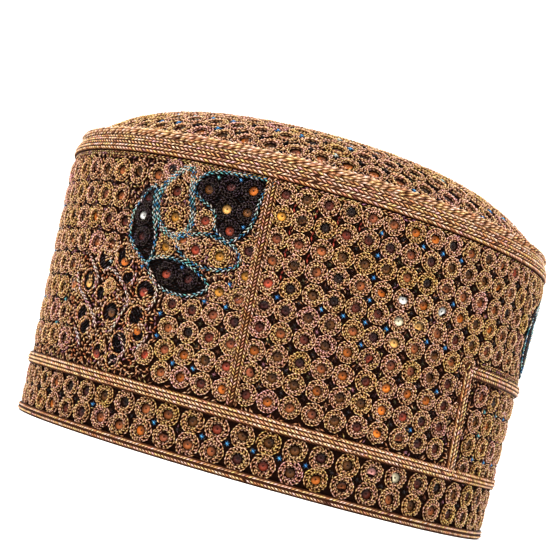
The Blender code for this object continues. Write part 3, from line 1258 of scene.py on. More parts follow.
    def fill(self, outline: np.ndarray, dyes: dict[Shade, float], lie: float, length: float,
             lift: float = 0.0001) -> None:
        """Fill an outline with short straight stitches.

        Args:
            outline: the closed outline.
            dyes: thread colours, and how often each is used.
            lie: angle of the stitches in degrees.
            length: length of a stitch.
            lift: height of the stitches over the cloth.
        """
        low, high = outline.min(axis=0), outline.max(axis=0)
        spots = []
        for index, height in enumerate(np.arange(low[1], high[1], 0.00075)):
            across = np.arange(low[0] + (index % 2) * length * 0.4, high[0], length * 0.8)
            spots.append(np.stack([across, np.full(across.shape, height)], axis=1))
        spots = np.concatenate(spots)
        spots = spots + self.rng.normal(0, 0.00012, spots.shape)
        seats = FORM.on_wall(spots[within(spots, outline)])
        turn = np.radians(lie + self.rng.normal(0, 6.0, len(seats)))[:, None]
        self.threads.lay(seats.raised(lift), seats.heading(turn), seats.out, (length, 0.0009, 0.0007),
                         tinted(dyes, len(seats), self.rng))


def lined(piece: bpy.types.Object, name: str, points: np.ndarray,
          mapped: Callable[[int, int], Iterable[float]], weave: ClothFinish,
          lining: str) -> bpy.types.Object:
    """Fit a plain mesh to the cap as cloth with a lining, and give it a UV map in metres.

    Args:
        piece: the plain mesh.
        name: the cloth's name.
        points: the fitted places of its points.
        mapped: place on the map of a point, from its face's first point and its own number.
        weave: finish of the outer side.
        lining: name of the inner side's finish.

    Returns:
        The same object.
    """
    piece.name = name
    mesh = piece.data
    mesh.vertices.foreach_set("co", points.ravel())
    layer = mesh.uv_layers.new(name="UVMap")
    for face in mesh.polygons:
        for loop, corner in zip(face.loop_indices, face.vertices):
            layer.data[loop].uv = mapped(face.vertices[0], corner)
    Bench.turn_outwards(piece)
    mesh.materials.append(weave.made())
    mesh.materials.append(ClothFinish(lining, (120, 84, 56), (96, 64, 42), 900.0).made())
    Bench.modifier(piece, "SOLIDIFY", thickness=FORM.wall_thickness, offset=-1.0, material_offset=1)
    piece.data.shade_smooth()
    return piece


@dataclass
class SideWall:
    """Lined, padded cloth wall under the embroidery."""

    around: int = 240
    levels: int = 26

    def build(self, shop: Workshop) -> None:
        """Model the wall as a tube, fit it to the oval, and dress it in ground cloth and lining.

        Args:
            shop: small forms and finishes.
        """
        rise = (FORM.wall_top - FORM.wall_foot) / self.levels
        Bench.clear()
        bpy.ops.mesh.primitive_circle_add(vertices=self.around, radius=FORM.half_length,
                                          location=(0, 0, FORM.wall_foot))
        piece = Bench.take_up()
        Bench.settle(piece)
        with Bench.editing(piece):
            bpy.ops.mesh.select_all(action="SELECT")
            for _ in range(self.levels):
                bpy.ops.mesh.extrude_region_move(TRANSFORM_OT_translate={"value": (0.0, 0.0, rise)})
        plain = np.array([point.co for point in piece.data.vertices])
        azimuth = np.degrees(np.arctan2(plain[:, 0], -plain[:, 1]))

        def mapped(first: int, corner: int) -> tuple[float, float]:
            """Length round the wall, without a jump at the seam, and height."""
            near = azimuth[first] + (azimuth[corner] - azimuth[first] + 180) % 360 - 180
            return FORM.length_at(near), plain[corner, 2]

        lined(piece, "wall_cloth", FORM.wall(azimuth, plain[:, 2]), mapped,
              ClothFinish("ground_weave", (26, 9, 4), (13, 6, 4)), "lining_weave")
        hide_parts("side_wall")
        shop.finished(piece, piece.data.materials[0], Slot.GROUND)


@dataclass
class Crown:
    """Lined cloth of the crown, and the rings sewn on it in rounds."""

    around: int = 240
    rounds: int = 24
    first_row: float = 0.0068
    row_pitch: float = 0.0101
    ring_pitch: float = 0.0103
    ring_size: float = 1.24
    seed: int = 11

    def build_cloth(self, shop: Workshop) -> None:
        """Model the crown's cloth as a disc drawn in round by round, then raise it to the dome.

        Args:
            shop: small forms and finishes.
        """
        shares = [math.sin(math.radians(90) * (1 - step / self.rounds)) for step in range(self.rounds)]
        Bench.clear()
        bpy.ops.mesh.primitive_circle_add(vertices=self.around, radius=1.0)
        piece = Bench.take_up()
        with Bench.editing(piece):
            bpy.ops.mesh.select_all(action="SELECT")
            for outer, inner in zip(shares, shares[1:]):
                bpy.ops.mesh.extrude_region_move()
                bpy.ops.transform.resize(value=(inner / outer, inner / outer, 1.0))
            bpy.ops.mesh.extrude_region_move()
            bpy.ops.mesh.merge(type="CENTER")
        plain = np.array([point.co for point in piece.data.vertices])
        azimuth = np.degrees(np.arctan2(plain[:, 0], -plain[:, 1]))
        raised = FORM.crown(azimuth, np.minimum(1.0, np.hypot(plain[:, 0], plain[:, 1])))
        lined(piece, "crown_cloth", raised, lambda first, corner: raised[corner, :2],
              ClothFinish("crown_weave", (34, 16, 8), (18, 9, 6)), "crown_lining_weave")
        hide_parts("crown")
        shop.finished(piece, piece.data.materials[0], Slot.CROWN)

    def rows(self) -> list[tuple[float, int]]:
        """Rows of rings from the foot to the top.

        Returns:
            For each row its share of the radius and its number of rings.
        """
        shares = np.linspace(1, 0, 800)
        line = FORM.crown(np.full(800, 45.0), shares)
        run = np.concatenate([[0.0], np.cumsum(np.linalg.norm(np.diff(line, axis=0), axis=1))])
        azimuths = np.arange(0, 360, 3.0)
        found = []
        at = self.first_row
        while at < run[-1] - self.row_pitch / 3:
            share = float(np.interp(at, run, shares))
            ring = FORM.crown(azimuths, np.full(azimuths.shape, share))
            girth = np.linalg.norm(ring - np.roll(ring, 1, axis=0), axis=1).sum()
            found.append((share, max(1, round(girth / self.ring_pitch))))
            at += self.row_pitch
        return found

    def build_rings(self, shop: Workshop) -> None:
        """Sew the crown's rings, sequins and crosses.

        Args:
            shop: small forms and finishes.
        """
        rng = np.random.default_rng(self.seed)
        work, crosses = Needlework(shop, rng), Needlework(shop, rng)
        rows = self.rows()
        for index, (share, count) in enumerate(rows):
            step = 360 / count
            azimuths = (np.arange(count) + 0.5 * (index % 2)) * step
            seats = FORM.on_crown(azimuths, np.full(count, share))
            thread = tinted(RING_DYES, count, rng, 0.06)
            film = tinted(SEQUIN_DYES, count, rng)
            work.rings(seats, np.full(count, self.ring_size), thread, film)
            upper = rows[index + 1][0] if index + 1 < len(rows) else share * 0.4
            edges = [((share + upper) / 2, 1.0)]
            if index == 0:
                edges.append(((share + (1 - (share - upper) * 0.12)) / 2, 0.7))
            for edge, weight in edges:
                middles = FORM.on_crown(azimuths + step / 2, np.full(count, edge))
                crosses.crosses(middles, 0.0042 * weight, tinted(CROWN_CROSS_DYES, count, rng))
                crosses.tufts(middles, 0.0024)
        work.sewn("crown_ring_stitches")
        work.spangled("crown_sequins")
        crosses.sewn("crown_cross_stitches")


class Accent(NamedTuple):
    """A stitch or sequin of its own colour: azimuth, height in millimetres, and shade."""

    azimuth: float
    height: float
    shade: Shade = Shade.BLUE


# Sequins that show bright: partly their own pale colours, partly painted glints of sequins that catch the
# light.
BRIGHT_SEQUINS = tuple(Accent(*row) for row in (
    (25.2, 77.5, Shade.WHITE), (25.8, 69.5, Shade.CREAM), (35.2, 78.0, Shade.WHITE),
    (30.5, 69.0, Shade.GOLD),
    (25.8, 61.0, Shade.GOLD), (26.5, 45.0, Shade.ORANGE), (26.2, 37.0, Shade.ORANGE),
    (26.5, 28.0, Shade.ORANGE),
    (33.0, 15.0, Shade.CREAM), (27.0, 15.5, Shade.PINK), (-10.4, 70.0, Shade.AMBER),
    (-15.6, 62.0, Shade.AMBER),
    (-5.0, 70.0, Shade.RED), (-5.6, 94.0, Shade.AMBER)))
BLUE_CROSSES = tuple(Accent(*row) for row in (
    (17.0, 98.3), (17.0, 90.2), (17.2, 82.2), (17.8, 74.1), (17.5, 66.0), (18.2, 58.0), (22.8, 66.0),
    (26.5, 98.3),
    (31.5, 98.3), (36.5, 98.3), (38.0, 82.2), (7.5, 66.0), (12.5, 66.0), (33.5, 66.0), (39.0, 66.0),
    (39.5, 49.9),
    (34.2, 33.8), (-2.2, 66.0), (-12.8, 66.0), (-13.2, 58.0), (-18.6, 58.0), (-28.6, 49.9), (-28.3, 41.9),
    (-27.8, 33.8), (-22.6, 33.8), (-17.4, 33.8), (-43.8, 11.6), (-25.0, 11.6), (-13.0, 11.6), (-7.0, 11.6),
    (-1.0, 11.6), (5.0, 11.6), (11.2, 11.6), (56.8, 48.3, Shade.TEAL), (63.0, 48.3, Shade.TEAL),
    (69.0, 48.3),
    (56.0, 39.1, Shade.TEAL), (56.8, 29.9), (63.8, 29.9), (69.5, 29.9)))
PETAL_CROSSES = tuple(Accent(*row) for row in (
    (-21.8, 102.4, Shade.TEAL), (-16.5, 103.2), (-13.5, 87.0), (-25.8, 67.8), (-36.5, 65.0),
    (-46.5, 64.5, Shade.SKY), (-40.6, 73.6, Shade.DEEP_TEAL)))
LATTICE_SEQUINS = tuple(Accent(*row) for row in (
    (-42.0, 65.5, Shade.ORANGE), (-53.0, 55.0, Shade.GOLD), (-59.6, 53.5, Shade.ORANGE),
    (-34.6, 56.0, Shade.RUST),
    (-42.8, 46.0, Shade.UMBER), (-34.0, 42.0, Shade.ORANGE), (-44.8, 29.8, Shade.RED)))
MARK_REACH = 0.0045
RUST_MARK = 2.0
# BRIGHT_BOOST lifts those sequins to full brightness, partly a painted glint
BRIGHT_BOOST = 2.2


class Panel(Enum):
    """The wall's panels, by the azimuth to which each is turned."""

    SIDE = -120.0
    BROW = 0.0
    BACK = 120.0


@dataclass
class RingField:
    """Rings in rows and columns on the wall's three panels, its brow block and its lower band."""

    shop: Workshop
    motifs: list["Petals"]
    guide_columns: tuple[int, ...] = (0, 13, 23)
    guide_azimuths_low: tuple[float, ...] = (-6.8, 60.6, 113.0)
    guide_azimuths_top: tuple[float, ...] = (-8.3, 56.1, 110.4)
    guide_low: float = 0.0295
    guide_top: float = 0.1023
    top_row: float = 0.1023
    row_pitch: float = 0.00806
    rows: int = 10
    columns: int = 23
    corner_marks: int = 4
    coarse_rows: tuple[float, ...] = (-38.0, -42.5, -45.0, -47.7, -50.4, -53.1, -55.8, -58.5)
    coarse_top: float = 0.0993
    coarse_row_pitch: float = 0.0095
    coarse_pitch: float = 5.85
    coarse_size: float = 1.14
    coarse_margin: float = 1.0
    ground_low: float = 0.0250
    ground_top: float = 0.1064
    ground_gap: float = 0.0013
    ground_clear: float = 0.0051
    block_start: float = 48.4
    block_end: float = 131.0
    rows_over_block: int = 5
    lower_rows: tuple[float, ...] = (0.0157, 0.0076)
    lower_columns: int = 59
    lower_start: float = 52.2
    lower_size: float = 1.10
    block_rows: tuple[float, ...] = (0.0253, 0.0345, 0.0437, 0.0529)
    block_columns: int = 13
    block_first: float = 53.1
    ring_margin: float = 0.0026
    ring_clear: float = 0.0068
    cross_margin: float = 0.0012
    cross_clear: float = 0.0040
    ground_ring_clear: float = 0.0045
    seed: int = 5
    sewn_places: list[np.ndarray] = field(default_factory=list)

    def __post_init__(self) -> None:
        """Start the random draws."""
        self.rng = np.random.default_rng(self.seed)

    def edge(self, column: float, height: float) -> float:
        """Edge of a column of rings, in the panel that starts near azimuth 0.

        Args:
            column: the column's number, with a part of it where the place lies inside.
            height: height on the wall.

        Returns:
            Its azimuth at that height.
        """
        low = np.interp(column, self.guide_columns, self.guide_azimuths_low)
        top = np.interp(column, self.guide_columns, self.guide_azimuths_top)
        return float(low + (top - low) * (height - self.guide_low) / (self.guide_top - self.guide_low))

    def panel_spots(self, start: float, between: bool) -> list[tuple[float, float, float]]:
        """Ring places of one panel, or the junctions between them.

        Args:
            start: azimuth to which the panel is turned.
            between: whether the junctions are wanted.

        Returns:
            Azimuth, height and size for each.
        """
        spots = []
        for row in range(self.rows - between):
            height = self.top_row - self.row_pitch * (row + 0.5 * between)
            for column in range(between, self.columns):
                edge = self.edge(column + 0.5 - 0.5 * between, height)
                coarse = start and edge < self.coarse_rows[0] + Panel.BACK.value + self.coarse_margin
                over_block = self.block_start - 1 < (start + edge) % 360 < self.block_end + 1
                if coarse or over_block and row >= self.rows_over_block - between:
                    continue
                corner = between and row + column <= self.corner_marks
                spots.append((start + edge, height, RUST_MARK if corner else 1.0))
        return spots

    def coarse_spots(self, start: float, between: bool) -> list[tuple[float, float, float]]:
        """Places of the larger rings far from the motif on the side and back panels, or their junctions.

        Args:
            start: azimuth to which the panel is turned.
            between: whether the junctions are wanted.

        Returns:
            Azimuth, height and size for each.
        """
        spots = []
        for row, first in enumerate(self.coarse_rows[:len(self.coarse_rows) - between]):
            height = self.coarse_top - self.coarse_row_pitch * (row + 0.5 * between)
            far = start + Panel.BACK.value + first
            width = far - (self.edge(0, height) + start + 0.5 * self.coarse_pitch)
            columns = round(width / self.coarse_pitch)
            spots += [(far - width / columns * (column + 0.5 * between), height, 1.0
                       if between else self.coarse_size)
                      for column in range(columns + 1 - between)]
        return spots

    def low_spots(self, between: bool) -> tuple[list[tuple[float, float, float]], ...]:
        """Ring places inside the brow block and of the two lowest rows, or the junctions between them.

        Args:
            between: whether the junctions are wanted.

        Returns:
            Azimuth, height and size for each, of the block and of the lowest rows.
        """
        step = (self.block_start + self.block_end - 2 * self.block_first) / (self.block_columns - 1)
        lap = 360 / self.lower_columns
        heights, lower = self.block_rows, self.lower_rows
        if between:
            heights = [(low + high) / 2 for low, high in zip((lower[0], *heights), heights)]
            lower = [sum(lower) / 2]
        return ([(self.block_first + step * 0.5 * between + step * column, height, self.lower_size)
                 for height in heights for column in range(self.block_columns - between)],
                [(self.lower_start + lap * 0.5 * between - lap * column, height, self.lower_size)
                 for height in lower for column in range(self.lower_columns)])

    def build(self) -> None:
        """Sew all rings, sequins and crosses of the wall, and the threads between them."""
        for panel in Panel:
            coarse = self.coarse_spots(panel.value, False) if panel.value else []
            self.sew_rings(f"{panel.name.lower()}_panel", self.panel_spots(panel.value, False) + coarse)
        block, lower = self.low_spots(False)
        self.sew_rings("lower_band", lower + block)
        junctions = [spot for panel in Panel for spot in self.panel_spots(panel.value, True)]
        junctions += [spot for panel in Panel if panel.value
                      for spot in self.coarse_spots(panel.value, True)]
        block, lower = self.low_spots(True)
        self.sew_crosses(junctions + block + lower)
        self.sew_ground()

    def free(self, chart: np.ndarray, margin: float, ring_gap: float) -> np.ndarray:
        """Which spots no motif takes up.

        Args:
            chart: lengths round the wall and heights.
            margin: how near a spot may come to a petal's line.
            ring_gap: how near a spot may come to the middle of one of a motif's rings.

        Returns:
            True for each spot that is free.
        """
        return np.all([~motif.covered(chart, margin, ring_gap) for motif in self.motifs], axis=0)

    @staticmethod
    def marked(chart: np.ndarray, mark: Accent, turn: float = 0.0) -> list[int]:
        """The spot that a mark of the design stands for, if there is one near it.

        Args:
            chart: lengths round the wall and heights.
            mark: the mark.
            turn: degrees by which it is turned round the cap.

        Returns:
            The spot's number, or nothing.
        """
        away = np.hypot(*(chart - charted([mark], turn)).T)
        return [int(away.argmin())] if away.min() < MARK_REACH else []

    def sew_rings(self, name: str, spots: list[tuple[float, float, float]]) -> None:
        """Sew the rings of one field, with their sequins.

        Args:
            name: the field's name.
            spots: azimuth, height and size of each ring.
        """
        table = np.array(spots)
        chart = np.stack([FORM.length_at(table[:, 0]), table[:, 1]], axis=1)
        keep = self.free(chart, self.ring_margin, self.ring_clear)
        table, chart = table[keep], chart[keep]
        seats = FORM.on_wall(chart + self.rng.normal(0, 0.00016, chart.shape))
        self.sewn_places.append(seats.place)
        thread = tinted(RING_DYES, len(table), self.rng, 0.05)
        film = tinted(SEQUIN_DYES, len(table), self.rng)
        # bright sequins: their own colour lifted to full brightness, partly a painted glint
        for mark in BRIGHT_SEQUINS:
            film[self.marked(chart, mark)] = mark.shade.linear * BRIGHT_BOOST
        work = Needlework(self.shop, self.rng)
        work.rings(seats, table[:, 2], thread, film)
        work.sewn(f"{name}_ring_stitches")
        work.spangled(f"{name}_sequins")

    def sew_crosses(self, spots: list[tuple[float, float, float]]) -> None:
        """Sew the cross stitches between the rings.

        Args:
            spots: azimuth, height and size of each junction.
        """
        table = np.array(spots)
        chart = np.stack([FORM.length_at(table[:, 0]), table[:, 1]], axis=1)
        keep = self.free(chart, self.cross_margin, self.cross_clear)
        table, chart = table[keep], chart[keep]
        dye = tinted(WALL_CROSS_DYES, len(table), self.rng)
        corner = table[:, 2] == RUST_MARK
        dye[corner] = tinted({Shade.RUST: 2, Shade.RED: 1}, int(corner.sum()), self.rng) * 0.75
        for mark in BLUE_CROSSES:
            for panel in Panel:
                for spot in self.marked(chart, mark, panel.value):
                    dye[spot] = mark.shade.linear * self.rng.uniform(0.8, 1.2)
        work = Needlework(self.shop, self.rng)
        seats = FORM.on_wall(chart)
        work.crosses(seats.chosen(~corner), 0.0025, dye[~corner])
        dashes = seats.chosen(corner)
        for side, share in ((1.0, 0.45), (-1.0, 1.0)):
            work.threads.lay(dashes.raised(0.0005) + dashes.up * 0.0009 * side,
                             dashes.up + dashes.right * 0.3 * side,
                             dashes.out, (0.0026, 0.0010, 0.0009), dye[corner] * share)
        work.tufts(seats, 0.0018)
        work.sewn("wall_cross_stitches")

    def sew_ground(self) -> None:
        """Sew short brown threads where no ring covers the wall's cloth."""
        rings = np.concatenate(self.sewn_places)
        tree = KDTree(len(rings))
        for index, place in enumerate(rings):
            tree.insert(place, index)
        tree.balance()
        lengths = np.arange(0.0, float(FORM.length_at(360.0)), self.ground_gap)
        heights = np.arange(self.ground_low, self.ground_top, self.ground_gap)
        chart = np.stack(np.meshgrid(lengths, heights), axis=-1).reshape(-1, 2)
        chart = chart + self.rng.normal(0, 0.00032, chart.shape)
        chart = chart[[tree.find(place)[2] > self.ground_clear for place in FORM.on_wall(chart).place]]
        work = Needlework(self.shop, self.rng)
        chart = chart[self.free(chart, self.cross_margin, self.ground_ring_clear)]
        work.strew(FORM.on_wall(chart), GROUND)
        work.sewn("wall_ground_stitches")


class Motif(Enum):
    """Closed outlines of the petals, as azimuths and heights in millimetres."""

    FAN = ((-27.0, 96.5), (-26.6, 100.0), (-25.2, 102.5), (-22.5, 104.2), (-18.2, 105.0), (-13.5, 105.2),
           (-8.8, 105.2), (-10.5, 101.5), (-11.2, 96.0), (-11.4, 91.5), (-12.2, 86.8), (-14.0, 83.2),
           (-16.0, 80.8), (-17.8, 81.5), (-20.2, 84.5), (-20.8, 89.0), (-22.2, 91.5), (-25.0, 93.5))
    OVAL = ((-29.6, 104.0), (-33.4, 99.5), (-35.8, 94.0), (-36.0, 88.5), (-34.6, 82.5), (-32.0, 79.3),
            (-28.6, 78.8), (-26.2, 82.5), (-26.2, 88.0), (-27.6, 95.0), (-28.0, 101.0))
    NARROW = ((-37.6, 95.5), (-40.4, 91.0), (-42.4, 85.0), (-42.6, 79.5), (-41.8, 74.5), (-39.2, 70.5),
              (-35.6, 66.8), (-34.4, 71.0), (-34.6, 77.0), (-35.6, 81.0), (-36.8, 86.0), (-37.2, 91.0))
    BOTTOM = ((-35.0, 67.6), (-31.0, 70.2), (-25.2, 69.6), (-21.0, 66.8), (-18.6, 63.2), (-21.0, 59.6),
              (-24.5, 58.0), (-28.8, 58.4), (-32.0, 60.2), (-34.0, 63.4))
    CONTOUR = ((-28.4, 77.6), (-25.0, 80.3), (-21.2, 81.6), (-17.5, 80.3), (-14.8, 79.6), (-12.8, 76.4),
               (-12.9, 73.4), (-15.2, 70.8), (-18.5, 69.6), (-22.0, 69.8), (-25.4, 71.2), (-27.8, 74.0))


class Lattice(Enum):
    """Pale lines of the lattice, as azimuths and heights in millimetres."""

    FIRST = ((-54.0, 65.0), (-51.0, 61.0), (-49.2, 57.0), (-49.8, 53.5))
    SECOND = ((-58.0, 58.5), (-56.0, 53.5), (-52.8, 49.5), (-50.2, 46.5), (-47.8, 43.0), (-46.5, 40.0))
    THIRD = ((-47.8, 60.0), (-45.5, 62.0), (-42.0, 59.0), (-39.5, 55.5), (-38.0, 51.5), (-39.2, 47.0),
             (-40.2, 43.0), (-41.5, 39.0))
    FOURTH = ((-34.0, 64.5), (-31.8, 60.5), (-30.8, 57.0), (-31.0, 53.0), (-32.2, 50.0))
    FIFTH = ((-39.0, 39.0), (-37.2, 36.5), (-36.2, 33.0), (-37.5, 30.0), (-40.0, 28.0))
    SIXTH = ((-37.5, 62.5), (-38.2, 57.5))
    SEVENTH = ((-30.5, 41.5), (-32.0, 37.0), (-34.0, 34.5))
    EIGHTH = ((-54.8, 38.5), (-52.2, 35.0), (-51.0, 31.0))


MOTIF_FIELD = ((-8.0, 107.0), (-9.4, 101.0), (-10.0, 95.0), (-9.0, 87.0), (-8.0, 80.0), (-8.0, 66.0),
               (-12.2, 58.0), (-20.0, 57.0), (-30.0, 57.0), (-34.8, 60.0), (-36.6, 65.0), (-42.8, 70.0),
               (-43.6, 80.0), (-41.6, 92.0), (-38.0, 96.0), (-34.6, 106.0))
LATTICE_FIELD = ((-30.0, 56.4), (-29.4, 50.0), (-29.4, 40.0), (-32.0, 33.0), (-35.0, 26.4), (-56.0, 26.4),
                 (-58.0, 40.0), (-60.0, 50.0), (-60.0, 62.0), (-54.0, 69.0), (-46.0, 71.0), (-36.0, 65.0))
LATTICE_CELLS = (
    (-48.4, 65.2, 4.1), (-42.2, 67.0, 3.8), (-53.0, 55.6, 3.5), (-34.4, 56.6, 3.6), (-43.0, 46.2, 3.4),
    (-53.2, 42.8, 2.7), (-35.2, 46.2, 3.2), (-51.2, 38.4, 2.6), (-38.6, 36.4, 3.4), (-44.4, 31.0, 2.7),
    (-48.0, 52.4, 2.2), (-33.6, 40.4, 2.4), (-39.2, 29.4, 2.2), (-40.4, 59.6, 2.2),
)
LATTICE_KNOTS = (
    (-47.6, 66.0, 1.5), (-41.2, 67.6, 1.5), (-45.4, 68.8, 1.2), (-41.5, 52.5, 2.6), (-47.8, 45.5, 1.9),
    (-33.2, 54.0, 1.6), (-33.0, 44.6, 1.6), (-43.2, 39.8, 1.9), (-36.2, 40.6, 1.6), (-48.2, 36.4, 1.8),
    (-38.0, 51.0, 1.4), (-57.0, 51.6, 1.8), (-52.4, 56.6, 0.9), (-43.0, 32.4, 1.2), (-56.6, 61.0, 1.8),
)


class Rosette(NamedTuple):
    """A ring of its own kind in a motif: azimuth, height in millimetres, sequin, size and thread."""

    azimuth: float
    height: float
    film: Shade
    size: float = 1.0
    thread: Shade = Shade.TAN


PETAL_RINGS = tuple(Rosette(*row, Shade.INK) for row in (
    (-23.6, 97.6, Shade.UMBER, 1.05), (-18.5, 100.3, Shade.PLUM, 1.05), (-13.2, 100.6, Shade.ORANGE, 1.05),
    (-18.3, 92.0, Shade.GOLD, 1.05), (-13.4, 92.6, Shade.UMBER, 1.0), (-16.4, 84.6, Shade.RED, 1.0),
    (-39.2, 90.6, Shade.PLUM, 0.9), (-39.6, 83.6, Shade.WHITE, 0.9), (-38.6, 76.0, Shade.PLUM, 0.9)))
OPEN_RINGS = tuple(Rosette(*row) for row in (
    (-31.6, 94.6, Shade.MAROON, 1.12), (-30.6, 85.2, Shade.AMBER, 1.08, Shade.GOLD_TAN),
    (-22.8, 86.2, Shade.RED, 1.02), (-31.4, 73.8, Shade.AMBER, 1.02, Shade.GOLD_TAN),
    (-23.6, 75.2, Shade.RUST, 1.06), (-17.4, 75.0, Shade.AMBER, 1.02, Shade.GOLD_TAN),
    (-11.0, 79.2, Shade.PLUM), (-10.4, 70.4, Shade.AMBER), (-15.6, 62.6, Shade.AMBER)))
BOTTOM_RINGS = (Rosette(-29.6, 64.4, Shade.RED, 1.05, Shade.INK),
                Rosette(-23.8, 64.4, Shade.PLUM, 1.0, Shade.INK))
LATTICE_RINGS = (Rosette(-45.2, 55.5, Shade.AMBER, 0.74, Shade.GOLD_TAN),
                 Rosette(-30.6, 34.2, Shade.RUST, 0.95))


@dataclass
class Petals:
    """Dark petals with light outlines, the rings among them, and the pale lattice."""

    shop: Workshop
    turn: float
    name: str
    seed: int
    bottom: bool = True
    lattice: bool = True
    oval_double: float = 0.00055
    cell_grow: float = 1.12
    knot_scatter: float = 0.55
    ring_film_light: float = 1.25
    lattice_film_light: float = 1.2

    def __post_init__(self) -> None:
        """Lay out the needlework and the rings of the motif on this side."""
        self.work = Needlework(self.shop, np.random.default_rng(self.seed))
        self.rosettes = [*PETAL_RINGS, *OPEN_RINGS, *(BOTTOM_RINGS if self.bottom else ()),
                         *(LATTICE_RINGS if self.lattice else ())]
        self.petals = [Motif.FAN, Motif.NARROW] + ([Motif.BOTTOM] if self.bottom else [])

    def outline(self, shape: Motif | Lattice) -> np.ndarray:
        """A line of the design on this side of the cap."""
        return drawn(shape.value, isinstance(shape, Motif), self.turn)

    def covered(self, chart: np.ndarray, margin: float, ring_gap: float) -> np.ndarray:
        """Which spots of the wall the motif takes up.

        Args:
            chart: lengths round the wall and heights.
            margin: how near a spot may come to a petal's line.
            ring_gap: how near a spot may come to the middle of one of the motif's rings.

        Returns:
            True for each spot that is taken.
        """
        lap = float(FORM.length_at(360.0))
        taken = np.zeros(len(chart), bool)
        rings = charted(self.rosettes, self.turn)
        outlines = [self.outline(petal) for petal in self.petals]
        for shift in (-lap, 0.0, lap):
            spots = chart + np.array([shift, 0.0])
            taken |= nearest(spots, rings) < ring_gap
            for outline in outlines:
                taken |= within(spots, outline) | (nearest(spots, outline) < margin)
            if self.lattice:
                taken |= within(spots, charted(LATTICE_FIELD, self.turn))
        return taken

    def build(self) -> None:
        """Sew the motif."""
        work = self.work
        for petal in self.petals:
            work.fill(self.outline(petal), {Shade.BLACK: 4, Shade.INK: 1}, 0.0, 0.0028)
        work.rings(FORM.on_wall(charted(self.rosettes, self.turn), 0.0002),
                   np.array([ring.size for ring in self.rosettes]),
                   np.array([ring.thread.linear for ring in self.rosettes]),
                   np.array([ring.film.linear for ring in self.rosettes]) * self.ring_film_light)
        for motif in [*self.petals, Motif.OVAL, Motif.CONTOUR]:
            for offset in (-self.oval_double, self.oval_double) if motif is Motif.OVAL else (0.0,):
                work.plait(MOTIF_CHAIN, self.beside(self.outline(motif), offset), OUTLINE_DYES, True, 0.0003)
        marks = [mark for mark in PETAL_CROSSES if self.lattice or mark.azimuth > -30]
        work.crosses(FORM.on_wall(charted(marks, self.turn), 0.0004), 0.0021,
                     np.array([mark.shade.linear for mark in marks]))
        self.sew_filler()
        if self.lattice:
            self.sew_lattice()
        work.sewn(f"{self.name}_petal_stitches")
        work.spangled(f"{self.name}_petal_sequins")

    def sew_filler(self) -> None:
        """Sew thin tan and dark fibres in the gaps between the motif's rings and petals."""
        outline = charted(MOTIF_FIELD, self.turn)
        spots = self.work.rng.uniform(outline.min(axis=0), outline.max(axis=0), (6000, 2))
        keep = within(spots, outline) & (nearest(spots, charted(self.rosettes, self.turn)) > 0.0041)
        for petal in self.petals:
            keep &= ~within(spots, self.outline(petal))
        for motif in (*self.petals, Motif.OVAL, Motif.CONTOUR):
            keep &= nearest(spots, self.outline(motif)) > 0.0009
        self.work.strew(FORM.on_wall(spaced(spots[keep], 0.0008)), FILLER)

    def sew_lattice(self) -> None:
        """Sew the lattice: dark patches with arches, golden knots, sequins and pale chain lines."""
        work, rng = self.work, self.work.rng
        lines = [self.outline(line) for line in Lattice]
        cells = charted(LATTICE_CELLS, self.turn)
        radii = [cell[2] * self.cell_grow * MM for cell in LATTICE_CELLS]
        turns = np.radians(np.arange(0, 360, 24))
        circle = np.stack([np.cos(turns), np.sin(turns)], axis=1)
        for middle, radius in zip(cells, radii):
            rim = middle + radius * circle
            work.fill(rim, {Shade.BLACK: 2, Shade.INK: 1}, rng.uniform(0, 180), 0.0022, 0.0003)
            start = int(rng.integers(len(turns)))
            work.plait(ARCH, np.roll(rim, start, axis=0)[:int(len(turns) * 0.8)], ARCH_DYES)
            outer = np.roll(rim + circle * 0.0011, start + 5, axis=0)
            work.plait(ARCH, outer[:int(len(turns) * 0.7)], ARCH_DYES)
        outline = charted(LATTICE_FIELD, self.turn)
        spots = rng.uniform(outline.min(axis=0), outline.max(axis=0), (9000, 2))
        spots = spots[within(spots, outline)]
        keep = np.ones(len(spots), bool)
        for middle, radius in zip(cells, radii):
            keep &= np.hypot(*(spots - middle).T) > radius + 0.0006
        for line in lines:
            keep &= nearest(spots, line) > 0.0008
        work.strew(FORM.on_wall(spaced(spots[keep], 0.00125)), KNOT)
        for middle, (_, _, radius) in zip(charted(LATTICE_KNOTS, self.turn), LATTICE_KNOTS):
            spread = middle + rng.normal(0, radius * MM * self.knot_scatter, (60, 2))
            work.strew(FORM.on_wall(spaced(spread, 0.0010)), GOLDEN_KNOT)
        work.spangle(FORM.on_wall(charted(LATTICE_SEQUINS, self.turn)),
                     np.array([mark.shade.linear for mark in LATTICE_SEQUINS]) * self.lattice_film_light,
                     0.0005)
        for line in lines:
            work.plait(MOTIF_CHAIN, line, PALE_LINE_DYES, lift=0.0009)

    @staticmethod
    def beside(line: np.ndarray, offset: float) -> np.ndarray:
        """A line moved sideways.

        Args:
            line: the line's points.
            offset: how far, to its left.

        Returns:
            The moved points.
        """
        course = np.roll(line, -1, axis=0) - np.roll(line, 1, axis=0)
        course[0] = line[1] - line[0]
        course[-1] = line[-1] - line[-2]
        course = unit(course)
        return line + offset * np.stack([-course[:, 1], course[:, 0]], axis=1)


